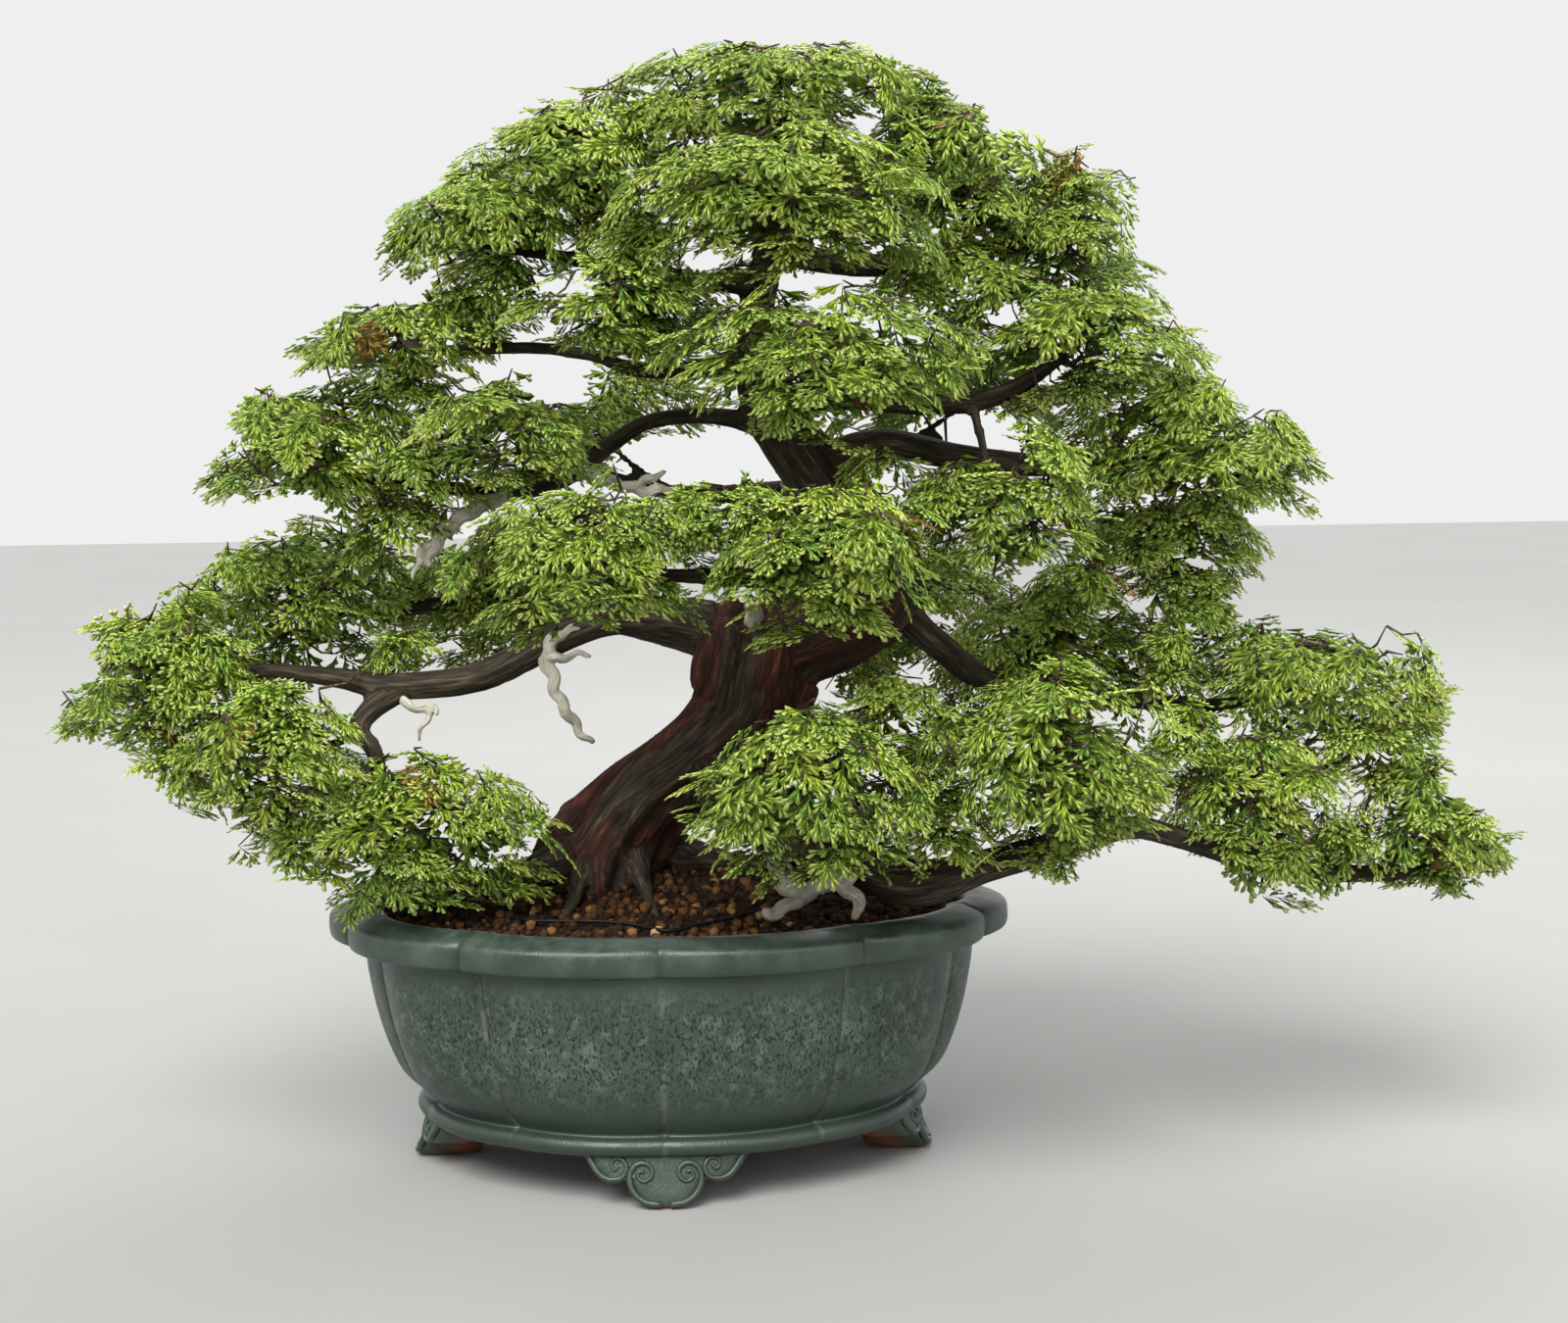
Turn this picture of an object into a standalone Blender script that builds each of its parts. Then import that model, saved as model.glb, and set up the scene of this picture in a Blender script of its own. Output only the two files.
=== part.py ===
"""Hinoki cypress bonsai in a glazed ten-lobed pot.

Front is -Y and up is +Z. Lengths at the top are in millimetres, and the tree and
the pot are laid out from the point on the ground under the middle of the pot.
"""
import math

import bmesh
import bpy
import numpy as np

MM = 0.001

# The whole stands with the middle of its own box over the origin
POT_X = -80.5
POT_Y = -23.5

# Gap between pieces that touch
GAP = 0.4

# Pot: half width, half depth, height and share by which the creases cut in,
# up the outside, over the lip and down the inside
LOBES = 10
POINTS_PER_LOBE = 4
POT_OUTSIDE = (
    (160, 124, 31, 0.010),
    (169, 133, 33, 0.015),
    (170, 134, 42, 0.015),
    (166, 130, 45, 0.020),
    (182, 138, 60, 0.030),
    (191, 143, 80, 0.035),
    (198, 145, 104, 0.035),
    (203, 146, 130, 0.035),
    (204, 146, 149, 0.030),
)
POT_LIP = (
    (214, 149, 151, 0.030),
    (225, 153, 155, 0.035),
    (227.5, 155, 161, 0.035),
    (226, 154, 167, 0.035),
    (219, 149, 172, 0.030),
    (208, 138, 174, 0.030),
    (200, 129, 172, 0.025),
)
POT_INSIDE = (
    (196, 127, 164, 0.015),
    (188, 131, 120, 0.010),
    (171, 121, 62, 0.005),
    (150, 108, 47, 0.0),
)
POT_FLOOR = 47.0
DRAIN_HOLE_X = 85.0
DRAIN_HOLE_RADIUS = 13.0
DRAIN_HOLE_SPAN = (20.0, 60.0)
DRAIN_HOLE_SIDES = 12

# Scroll foot: its outline, across and up, from its middle to its wing
FOOT_HALF_OUTLINE = (
    (9, 0), (17, 3), (23, 10), (25, 20), (31, 17), (39, 16), (46, 20), (51, 28), (51, 37),
)
FOOT_THICKNESS = 26.0
FOOT_FLARE = 0.30
FOOT_REACH_FRONT = 128.0
FOOT_REACH_SIDE = 163.0
FOOT_BEND_FRONT = 215.0
FOOT_BEND_SIDE = 105.0

# Drain screen: a square of mesh, with this many openings along each side
SCREEN_SIDE = 44.0
SCREEN_THICKNESS = 1.2
SCREEN_CELLS = 2
SCREEN_BAR = 3.0

# Soil: level at the wall, and the mound round the foot of the trunk
SOIL_POINTS_PER_LOBE = 2
SOIL_RINGS = (0.99, 0.62, 0.30)
SOIL_LEVEL = 165.0
SOIL_MOUND = 27.0
SOIL_MOUND_AT = (-25.0, 20.0)
SOIL_MOUND_SPREAD = (110.0, 75.0)

# Living wood: x, y, z and radius along each stem
TRUNK = (
    (-48, 22, 150, 44), (-46, 22, 180, 44), (-38, 22, 205, 38), (-20, 23, 236, 33),
    (14, 25, 266, 34), (43, 25, 298, 36), (57, 22, 326, 39), (63, 20, 353, 34),
)
TRUNK_SIDES = 14
TRUNK_STEPS = 2
TRUNK_RIDGES = 0.13

# Ridges along the trunk: how many round it, how far they turn from ring to ring, and their share
RIDGE_WAVES = ((3, 0.35, 1.0), (5, -0.25, 0.6))

ROOTS = (
    ((-60, 10, 200, 17), (-88, -4, 192, 12), (-104, -18, 181, 8), (-116, -30, 168, 5)),
    ((-50, 0, 200, 16), (-58, -28, 188, 10), (-62, -50, 178, 7), (-72, -66, 166, 4)),
    ((-25, 2, 205, 15), (-16, -26, 190, 9), (-10, -48, 180, 6), (-2, -66, 167, 4)),
    ((-20, 30, 205, 18), (18, 34, 193, 12), (46, 40, 184, 8), (70, 52, 168, 5)),
    ((-60, 35, 200, 17), (-84, 54, 188, 11), (-100, 66, 178, 7), (-114, 78, 166, 4)),
    ((-35, 45, 200, 15), (-26, 70, 186, 10), (-20, 86, 176, 6), (-14, 98, 166, 4)),
)
LIMBS = {
    "leader": (
        (64, 22, 338, 30), (92, 20, 346, 30), (122, 10, 360, 28), (144, 2, 380, 26),
        (136, 0, 408, 24), (120, 5, 430, 22), (101, 10, 456, 21), (84, 10, 482, 19),
        (71, 10, 508, 17), (64, 5, 550, 13), (74, 0, 598, 10), (84, 0, 640, 8), (80, 0, 690, 4),
    ),
    "left": (
        (54, 20, 340, 22), (26, 18, 352, 19), (-8, 10, 357, 15), (-37, 0, 358, 13),
        (-72, -5, 346, 12), (-121, -15, 325, 10), (-178, -20, 320, 9), (-218, -12, 326, 7),
        (-270, -5, 330, 5), (-315, -10, 322, 4),
    ),
    "left_drop": (
        (-168, -20, 320, 8), (-190, -26, 307, 8), (-200, -32, 293, 7),
        (-189, -40, 282, 6), (-185, -46, 262, 5), (-178, -50, 236, 4),
    ),
    "left_behind": (
        (-20, 6, 358, 11), (-75, 45, 362, 8), (-130, 75, 366, 7), (-190, 70, 362, 5),
        (-245, 60, 362, 4),
    ),
    "third_left": (
        (92, 14, 470, 13), (40, 20, 486, 10), (-18, 12, 482, 9), (-58, -8, 464, 8),
        (-105, -18, 458, 7), (-160, -8, 464, 5), (-218, 0, 466, 4),
    ),
    "second_left": (
        (66, 6, 530, 12), (20, -8, 520, 9), (-32, -14, 522, 8), (-84, -12, 534, 6),
        (-135, -5, 540, 5), (-172, 0, 542, 4),
    ),
    "upper_left": ((72, 0, 580, 9), (20, -6, 582, 6), (-48, -10, 596, 5), (-104, -10, 606, 4)),
    "upper_right": (
        (76, 0, 600, 9), (140, 2, 590, 8), (204, 6, 598, 6), (260, 10, 612, 4),
    ),
    "second_right": (
        (78, 8, 500, 13), (124, -22, 500, 10), (180, -30, 490, 9), (226, -26, 500, 7), (266, -20, 530, 4),
    ),
    "second_front": ((84, 4, 496, 11), (96, -50, 504, 8), (104, -112, 518, 4)),
    "third_right": (
        (104, 10, 462, 14), (148, 6, 478, 12), (196, 0, 468, 10), (248, 0, 460, 8),
        (300, 0, 458, 6), (332, 0, 462, 4),
    ),
    "front": (
        (118, 6, 372, 16), (98, -56, 388, 11), (72, -110, 396, 8), (20, -140, 400, 5),
        (-36, -150, 404, 4),
    ),
    "right": (
        (140, 4, 384, 15), (168, 8, 352, 11), (186, 14, 336, 10), (214, 24, 314, 9),
        (262, 34, 305, 8), (320, 36, 296, 7), (372, 34, 292, 5), (428, 30, 298, 4),
    ),
    "low_right": (
        (22, 18, 262, 24), (74, -22, 222, 18), (124, -58, 204, 15), (164, -80, 195, 15),
        (205, -84, 204, 11), (255, -78, 214, 10), (300, -64, 216, 9), (332, -50, 204, 9),
        (400, -30, 188, 8), (466, -18, 182, 6), (515, -10, 184, 4),
    ),
    "low_behind": ((48, 40, 312, 15), (26, 92, 330, 10), (-44, 150, 342, 7), (-108, 180, 344, 4)),
    "low_behind_right": ((34, 74, 322, 9), (96, 132, 328, 7), (150, 196, 330, 4)),
    "third_behind": ((108, 18, 440, 13), (86, 78, 458, 9), (6, 128, 468, 6), (-56, 160, 474, 4)),
    "third_behind_right": ((90, 66, 454, 8), (148, 124, 466, 6), (196, 158, 470, 4)),
    "crown_behind": ((82, 2, 600, 8), (84, 50, 612, 6), (82, 104, 630, 4)),
}
LIMB_SIDES = 5
LIMB_STEPS = 1
TWIG_SIDES = 3
TWIG_END = 2.6
TWIG_END_LEVEL = -0.1

# Twig: most share of its limb's radius, radius at no length, and the radius and sag a length adds
TWIG_MOST = 0.55
TWIG_START = 3.5
TWIG_SWELL = 0.02
TWIG_SAG = 0.06

# Pads of foliage: the limb that bears it, its middle, and its half width, depth and height
PADS = {
    "crown_top": ("leader", (79, 0, 694), (139, 107, 40)),
    "crown_left": ("leader", (-46, -15, 655), (78, 77, 44)),
    "crown_right": ("leader", (200, -8, 654), (92, 81, 40)),
    "crown_front": ("leader", (84, -104, 622), (121, 77, 46)),
    "crown_back": ("crown_behind", (82, 112, 640), (112, 72, 50)),
    "upper_left": ("upper_left", (-112, -10, 610), (78, 84, 43)),
    "upper_right": ("upper_right", (270, 10, 604), (64, 81, 46)),
    "second_left": ("second_left", (-176, 0, 546), (91, 88, 41)),
    "second_left_inner": ("second_left", (-22, -72, 566), (89, 67, 29)),
    "second_front": ("second_front", (106, -124, 530), (109, 72, 50)),
    "second_right": ("second_right", (270, -20, 540), (105, 93, 46)),
    "third_left": ("third_left", (-226, 0, 472), (88, 88, 43)),
    "third_left_inner": ("third_left", (-92, -48, 478), (80, 74, 43)),
    "third_right": ("third_right", (338, 0, 470), (107, 95, 55)),
    "third_right_inner": ("third_right", (214, -92, 438), (80, 70, 55)),
    "third_back_left": ("third_behind", (-62, 166, 486), (105, 77, 46)),
    "third_back_right": ("third_behind_right", (208, 174, 486), (107, 77, 48)),
    "front_left": ("front", (-40, -152, 412), (100, 65, 48)),
    "front_right": ("front", (94, -164, 416), (91, 67, 46)),
    "fourth_right": ("third_right", (330, 42, 400), (93, 86, 43)),
    "fourth_left": ("left_behind", (-254, 62, 370), (107, 88, 55)),
    "fourth_left_inner": ("left_behind", (-118, 92, 376), (84, 72, 46)),
    "low_left": ("left", (-326, -10, 322), (88, 84, 50)),
    "low_left_inner": ("left", (-246, -62, 284), (84, 68, 45)),
    "low_left_front": ("left_drop", (-172, -52, 232), (125, 72, 50)),
    "low_back_left": ("low_behind", (-118, 190, 356), (114, 77, 50)),
    "low_back_right": ("low_behind_right", (160, 206, 344), (119, 77, 53)),
    "low_right_back": ("right", (276, 62, 322), (119, 81, 60)),
    "low_right_far": ("right", (436, 30, 306), (114, 86, 62)),
    "low_front_left": ("low_right", (102, -152, 268), (87, 70, 62)),
    "low_front_right": ("low_right", (236, -134, 274), (96, 74, 60)),
    "far_right_inner": ("low_right", (402, -20, 226), (82, 81, 60)),
    "far_right": ("low_right", (504, -10, 222), (71, 72, 50)),
}

# Core of twigs that the fans stand out of, as shares of the pad's half width and height
PAD_CORE = 0.34
PAD_CORE_TOP = 0.75
PAD_CORE_FOOT = -0.6

# The two rings of fans of a pad: level of the ring, its reach, and the lowest and highest
# level of its tips, as shares of the pad's half height and width
PAD_LAYERS = ((-0.25, 1.0, -1.0, -0.25), (0.30, 0.84, 0.30, 1.0))

# Fan of foliage: one side of its outline, along and across, for a length and a width of 1
FAN_SIDE = ((0.58, 0.5), (0.62, 0.22), (0.97, 0.28))
FAN_CLEFT = 0.80
FAN_ROOT = 0.43
FAN_FILL = 0.94
FAN_HUB = 2.0
FAN_HUB_AT = 0.5
FAN_LIFT = 0.18
FAN_LIFT_DRAW = (0.5, 1.0)
FAN_REACH_DRAW = (0.86, 1.0)
FAN_SPACING = 104.0
FEWEST_FANS = 5

# Share of the room to its neighbours that a fan fills, and the room above the lip of the pot
BOUND_FILL = 0.98
CENTRE_FILL = 0.6
LIP_ROOM = 4.0
OVER_POT = (300.0, 220.0)
SEED = 41

# Dead branches: x, y, z and radius along each stem, with its prongs
DEADWOOD = {
    "deadwood_hanging": (
        ((-34, -2, 350, 7), (-62, -10, 352, 7), (-78, -14, 338, 6), (-74, -16, 322, 4),
         (-70, -18, 304, 4), (-60, -20, 286, 3.5), (-52, -20, 278, 2.5)),
        ((-80, -14, 334, 4), (-64, -18, 338, 3), (-47, -20, 338, 1.6)),
    ),
    "deadwood_small_left": (
        ((-172, -22, 318, 3.5), (-166, -28, 308, 3), (-150, -30, 306, 2.2), (-146, -31, 303, 1.2)),
        ((-158, -29, 306, 2), (-156, -30, 296, 1.8), (-162, -31, 286, 1.2)),
    ),
    "deadwood_third_left": (
        ((-100, -20, 455, 7), (-130, -30, 436, 5), (-148, -34, 424, 4), (-150, -36, 410, 2.4)),
        ((-146, -34, 426, 3), (-158, -36, 414, 2.4), (-158, -37, 402, 1.4)),
    ),
    "deadwood_third_inner": (
        ((-52, -8, 462, 6), (-28, -24, 452, 4.5), (-4, -30, 448, 3.5), (10, -32, 450, 2)),
        ((-14, -28, 449, 3), (-6, -30, 457, 2.6), (4, -32, 456, 1.4)),
    ),
    "deadwood_low": (
        ((74, -30, 208, 8), (76, -56, 197, 8), (90, -74, 188, 6), (104, -80, 196, 5),
         (118, -86, 192, 5), (124, -90, 180, 3.4)),
        ((108, -81, 194, 4), (120, -84, 200, 2.6), (126, -84, 205, 1.6)),
    ),
    "deadwood_fork": (((60, 8, 352, 7), (60, -12, 366, 5), (56, -24, 374, 3)),),
}
DEADWOOD_SIDES = 5

# Tie wire: its route over the soil
WIRE_RADIUS = 1.0
WIRE_ROUTE = (
    (-96, -78), (-84, -92), (-66, -98), (-46, -98), (-24, -100), (-6, -108), (2, -104),
    (12, -106), (28, -96), (50, -84), (64, -72),
)
WIRE_LIFT = 1.5
WIRE_POINTS = 24

GREEN = (0.16, 0.26, 0.05)
BARK = (0.16, 0.085, 0.055)
BLEACHED = (0.58, 0.55, 0.50)
GLAZE = (0.07, 0.14, 0.12)
EARTH = (0.045, 0.028, 0.018)
BLACK = (0.02, 0.02, 0.02)


def material(name, colour, roughness, metallic=0.0):
    made = bpy.data.materials.new(name)
    made.use_nodes = True
    shader = made.node_tree.nodes["Principled BSDF"]
    shader.inputs["Base Color"].default_value = (*colour, 1.0)
    shader.inputs["Roughness"].default_value = roughness
    shader.inputs["Metallic"].default_value = metallic
    return made


def node(name, points, faces, surface, at=(0, 0, 0)):
    """A mesh object of triangles from points in millimetres, facing out."""
    mesh = bpy.data.meshes.new(name)
    mesh.from_pydata([tuple(point) for point in np.asarray(points) * MM], [], faces)
    shape = bmesh.new()
    shape.from_mesh(mesh)
    bmesh.ops.triangulate(shape, faces=shape.faces)
    bmesh.ops.recalc_face_normals(shape, faces=shape.faces)
    shape.to_mesh(mesh)
    shape.free()
    made = bpy.data.objects.new(name, mesh)
    bpy.context.scene.collection.objects.link(made)
    made.location = np.array(at) * MM
    made.data.materials.append(surface)
    return made


def apply_modifiers(made):
    bpy.context.view_layer.update()
    graph = bpy.context.evaluated_depsgraph_get()
    result = bpy.data.meshes.new_from_object(made.evaluated_get(graph))
    made.modifiers.clear()
    made.data = result


def remove(objects):
    for old in list(objects):
        bpy.data.objects.remove(old)


def fused(name, shapes, surface, solver="MANIFOLD"):
    """One object joined from several closed shapes, each a pair of points and faces."""
    made = node(name, *shapes[0], surface)
    others = bpy.data.collections.new(name + "_repeats")
    bpy.context.scene.collection.children.link(others)
    for index, shape in enumerate(shapes[1:]):
        other = node(f"{name}_repeat_{index}", *shape, surface)
        bpy.context.scene.collection.objects.unlink(other)
        others.objects.link(other)
    join = made.modifiers.new("join", "BOOLEAN")
    join.operation = "UNION"
    join.operand_type = "COLLECTION"
    join.collection = others
    join.solver = solver
    apply_modifiers(made)
    remove(others.objects)
    bpy.data.collections.remove(others)
    return made


def cut(made, cutter):
    """Takes the cutter's shape out of an object for good."""
    take = made.modifiers.new("cut", "BOOLEAN")
    take.operation = "DIFFERENCE"
    take.object = cutter
    take.solver = "MANIFOLD"
    apply_modifiers(made)


def keep_largest_body(made):
    """Drops the loose scraps that a cut leaves."""
    shape = bmesh.new()
    shape.from_mesh(made.data)
    left = set(shape.verts)
    bodies = []
    while left:
        edge = [left.pop()]
        body = set(edge)
        while edge:
            point = edge.pop()
            for side in point.link_edges:
                other = side.other_vert(point)
                if other in left:
                    left.discard(other)
                    body.add(other)
                    edge.append(other)
        bodies.append(body)
    bodies.sort(key=len)
    for body in bodies[:-1]:
        bmesh.ops.delete(shape, geom=list(body), context="VERTS")
    shape.to_mesh(made.data)
    shape.free()


def smooth_path(points, steps):
    """A curve through the points, with this many steps between neighbours."""
    points = np.array(points, float)
    padded = np.vstack([2 * points[0] - points[1], points, 2 * points[-1] - points[-2]])
    found = []
    for index in range(len(points) - 1):
        before, start, end, after = padded[index:index + 4]
        for step in range(steps):
            t = step / steps
            found.append(0.5 * (
                2 * start + (end - before) * t
                + (2 * before - 5 * start + 4 * end - after) * t ** 2
                + (3 * start - before - 3 * end + after) * t ** 3
            ))
    return np.vstack([found, points[-1]])


def ring_faces(rings, sides):
    """Quads between neighbouring rings, and a cap on each end."""
    faces = []
    for ring in range(rings - 1):
        for side in range(sides):
            a = ring * sides + side
            b = ring * sides + (side + 1) % sides
            faces.append((a, b, b + sides, a + sides))
    faces.append(tuple(range(sides))[::-1])
    faces.append(tuple(range((rings - 1) * sides, rings * sides)))
    return faces


def tube(path, sides, grow=0.0, ridges=0.0):
    """A stem along a path of x, y, z and radius. Ridges swell it like muscle."""
    path = np.array(path, float)
    places = path[:, :3].copy()
    ways = np.gradient(places, axis=0)
    ways /= np.linalg.norm(ways, axis=1)[:, None]
    places[0] -= ways[0] * grow
    places[-1] += ways[-1] * grow
    aside = np.cross(ways[0], (0.0, 1.0, 0.0))
    points = []
    for index, (place, way) in enumerate(zip(places, ways)):
        aside = aside - way * np.dot(aside, way)
        aside /= np.linalg.norm(aside)
        across = np.cross(way, aside)
        for side in range(sides):
            turn = math.tau * side / sides
            swell = sum(
                share * math.cos(count * turn + twist * index) for count, twist, share in RIDGE_WAVES
            )
            radius = path[index, 3] * (1 + ridges * swell) + grow
            points.append(place + radius * (math.cos(turn) * aside + math.sin(turn) * across))
    return np.array(points), ring_faces(len(path), sides)


def nearest_on(limb, target):
    """The place and radius on a limb that a twig to the target grows from."""
    path = smooth_path(LIMBS[limb], 4)
    inner = path[:-1] if len(path) > 6 else path
    gaps = np.linalg.norm(inner[:, :3] - target, axis=1)
    return inner[np.argmin(gaps)]


def twig(pad):
    """The stem from a pad's limb to the middle of the pad."""
    limb, middle, halves = PADS[pad]
    end = np.array(middle, float) + (0, 0, TWIG_END_LEVEL * halves[2])
    start = nearest_on(limb, end)
    reach = end - start[:3]
    length = np.linalg.norm(reach)
    radius = min(TWIG_MOST * start[3], TWIG_START + TWIG_SWELL * length)
    halfway = start[:3] + reach / 2 - (0, 0, TWIG_SAG * length)
    return [(*start[:3], radius), (*halfway, (radius + TWIG_END) / 2), (*end, TWIG_END)]


def wood_shapes(grow):
    shapes = [tube(smooth_path(TRUNK, TRUNK_STEPS), TRUNK_SIDES, grow, TRUNK_RIDGES)]
    for root in ROOTS:
        shapes.append(tube(smooth_path(root, LIMB_STEPS), LIMB_SIDES, grow))
    for limb in LIMBS.values():
        shapes.append(tube(smooth_path(limb, LIMB_STEPS), LIMB_SIDES, grow))
    for pad in PADS:
        shapes.append(tube(twig(pad), TWIG_SIDES, grow))
    return shapes


def lobed_ring(half_width, half_depth, height, crease, inset=0.0, points_per_lobe=POINTS_PER_LOBE):
    """An oval of lobes that meet in creases, one of them at the front."""
    count = LOBES * points_per_lobe
    points = []
    for index in range(count):
        turn = math.tau * index / count
        swell = 1 - crease * (1 - abs(math.sin(LOBES / 2 * turn)))
        points.append((
            (half_width * swell - inset) * math.sin(turn),
            -(half_depth * swell - inset) * math.cos(turn),
            height,
        ))
    return points


def pot_body():
    rings = [lobed_ring(*row) for row in POT_OUTSIDE + POT_LIP + POT_INSIDE]
    return np.vstack(rings), ring_faces(len(rings), LOBES * POINTS_PER_LOBE)


def foot(reach, bend, turn):
    """A scroll foot that flares outward, turned about the pot's middle."""
    outline = list(FOOT_HALF_OUTLINE) + [(-across, up) for across, up in FOOT_HALF_OUTLINE[::-1]]
    top = FOOT_HALF_OUTLINE[-1][1]
    points = []
    for inward in (0.0, FOOT_THICKNESS):
        for across, up in outline:
            out = reach + FOOT_FLARE * (top - up) - across ** 2 / (2 * bend) - inward
            points.append((
                across * math.cos(turn) + out * math.sin(turn),
                across * math.sin(turn) - out * math.cos(turn),
                up,
            ))
    return np.array(points), ring_faces(2, len(outline))


def drum(x, span, radius, sides):
    """An upright drum over a place on the middle line."""
    turns = [math.tau * side / sides for side in range(sides)]
    points = [(x + radius * math.cos(turn), radius * math.sin(turn), z) for z in span for turn in turns]
    return np.array(points), ring_faces(2, sides)


def block(low, high):
    x0, y0, z0 = low
    x1, y1, z1 = high
    points = [(x, y, z) for z in (z0, z1) for x, y in ((x0, y0), (x1, y0), (x1, y1), (x0, y1))]
    return np.array(points, float), ring_faces(2, 4)


def make_pot():
    feet = [
        foot(FOOT_REACH_FRONT, FOOT_BEND_FRONT, 0.0),
        foot(FOOT_REACH_SIDE, FOOT_BEND_SIDE, math.pi / 2),
        foot(FOOT_REACH_FRONT, FOOT_BEND_FRONT, math.pi),
        foot(FOOT_REACH_SIDE, FOOT_BEND_SIDE, -math.pi / 2),
    ]
    pot = fused("pot", [pot_body(), *feet], material("pot_glaze", GLAZE, 0.45), "EXACT")
    for x in (-DRAIN_HOLE_X, DRAIN_HOLE_X):
        shape = drum(x, DRAIN_HOLE_SPAN, DRAIN_HOLE_RADIUS, DRAIN_HOLE_SIDES)
        hole = node("drain_hole", *shape, pot.active_material)
        cut(pot, hole)
        remove([hole])
    return pot


def make_screen(name, x):
    """A square of mesh on the floor over a drain hole."""
    half = SCREEN_SIDE / 2
    low = POT_FLOOR + GAP
    screen = node(
        name, *block((x - half, -half, low), (x + half, half, low + SCREEN_THICKNESS)),
        material(name + "_plastic", BLACK, 0.6),
    )
    pitch = (SCREEN_SIDE - SCREEN_BAR) / SCREEN_CELLS
    for column in range(SCREEN_CELLS):
        for row in range(SCREEN_CELLS):
            left = x - half + SCREEN_BAR + column * pitch
            near = -half + SCREEN_BAR + row * pitch
            opening = node("opening", *block(
                (left, near, low - 1),
                (left + pitch - SCREEN_BAR, near + pitch - SCREEN_BAR, low + SCREEN_THICKNESS + 1),
            ), screen.active_material)
            cut(screen, opening)
            remove([opening])
    return screen


def soil_height(x, y):
    """The height of the soil's surface, which rises in a mound round the trunk."""
    away_x = (x - SOIL_MOUND_AT[0]) / SOIL_MOUND_SPREAD[0]
    away_y = (y - SOIL_MOUND_AT[1]) / SOIL_MOUND_SPREAD[1]
    return SOIL_LEVEL + SOIL_MOUND * math.exp(-away_x ** 2 - away_y ** 2)


def make_soil(clearance):
    """The soil fills the pot, with plain holes where wood and screens sit in it."""
    wall = [row for row in POT_INSIDE[::-1] if row[2] < SOIL_LEVEL]
    rings = [lobed_ring(*row[:2], row[2] + GAP, row[3], GAP, SOIL_POINTS_PER_LOBE) for row in wall]
    half_width, half_depth, _, crease = wall[-1]
    for share in SOIL_RINGS:
        ring = lobed_ring(half_width * share, half_depth * share, 0, crease, 0, SOIL_POINTS_PER_LOBE)
        rings.append([(x, y, soil_height(x, y)) for x, y, _ in ring])
    soil = node(
        "soil", np.vstack(rings), ring_faces(len(rings), LOBES * SOIL_POINTS_PER_LOBE),
        material("soil_earth", EARTH, 0.95),
    )
    cut(soil, clearance)
    half = SCREEN_SIDE / 2 + GAP
    for x in (-DRAIN_HOLE_X, DRAIN_HOLE_X):
        top = POT_FLOOR + SCREEN_THICKNESS + 2 * GAP
        recess = node(
            "recess", *block((x - half, -half, POT_FLOOR - 5), (x + half, half, top)),
            soil.active_material,
        )
        cut(soil, recess)
        remove([recess])
    return soil


def boundary(pad, other):
    """The place and way of the flat bound between two pads, from their middles and sizes."""
    middle = np.array(PADS[pad][1], float)
    halves = np.array(PADS[pad][2], float)
    other_middle = np.array(PADS[other][1], float)
    other_halves = np.array(PADS[other][2], float)
    apart = other_middle - middle
    way = apart / ((halves + other_halves) / 2) ** 2
    way /= np.linalg.norm(way)
    own = np.linalg.norm(halves * way)
    others = np.linalg.norm(other_halves * way)
    distance = np.dot(apart, way)
    return way, distance * own / (own + others) - GAP


def bounds_of(pad):
    """The flat bounds round a pad, each a way out and a distance from its middle."""
    bounds = [boundary(pad, other) for other in PADS if other != pad]
    middle = np.array(PADS[pad][1], float)
    if abs(middle[0]) < OVER_POT[0] and abs(middle[1]) < OVER_POT[1]:
        lip_top = max(row[2] for row in POT_LIP)
        bounds.append((np.array((0.0, 0.0, -1.0)), middle[2] - lip_top - LIP_ROOM))
    return bounds


def share_inside(bounds, start, end):
    """How much of the way from start to end lies inside the bounds."""
    share = 1.0
    for way, distance in bounds:
        ahead = np.dot(end - start, way)
        room = distance - np.dot(start, way)
        if ahead > 1e-6:
            share = min(share, room / ahead)
    return share


def flat_angle(first, second):
    """The angle between two ways as seen from above."""
    turn = math.atan2(second[1], second[0]) - math.atan2(first[1], first[0])
    return abs((turn + math.pi) % math.tau - math.pi)


def room_share(bounds, centre, way):
    """The share of a way out of a centre that the bounds leave, at most all of it."""
    return min(1.0, BOUND_FILL * share_inside(bounds, centre, centre + way))


def fan(centre, tip, wedge, lift, bounds):
    """The ways to the points of a flat fan with a cut edge of fingers: its rim, then a high
    and a low point at its middle. Then the share of its size that it has room for."""
    out = tip - centre
    length = np.linalg.norm(out[:2])
    side_way = np.array((-out[1], out[0], 0.0)) / length
    width = 2 * FAN_SIDE[0][0] * math.tan(wedge) * FAN_FILL * length
    across = side_way * width + np.array((0.0, 0.0, 2 * lift))
    outline = [*FAN_SIDE, (FAN_CLEFT, 0.0), *[(along, -side) for along, side in FAN_SIDE[::-1]]]
    blade = [out * along + across * side for along, side in outline]
    thick = np.array((0.0, 0.0, FAN_HUB))
    blade += [out * FAN_HUB_AT + thick, out * FAN_HUB_AT - thick]
    return blade, min(room_share(bounds, centre, way) for way in blade)


def ring_centre(bounds, level):
    """The middle of a ring of fans, well inside the bounds."""
    way = np.array((0.0, 0.0, level))
    return way * share_inside(bounds, np.zeros(3), way / CENTRE_FILL)


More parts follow.
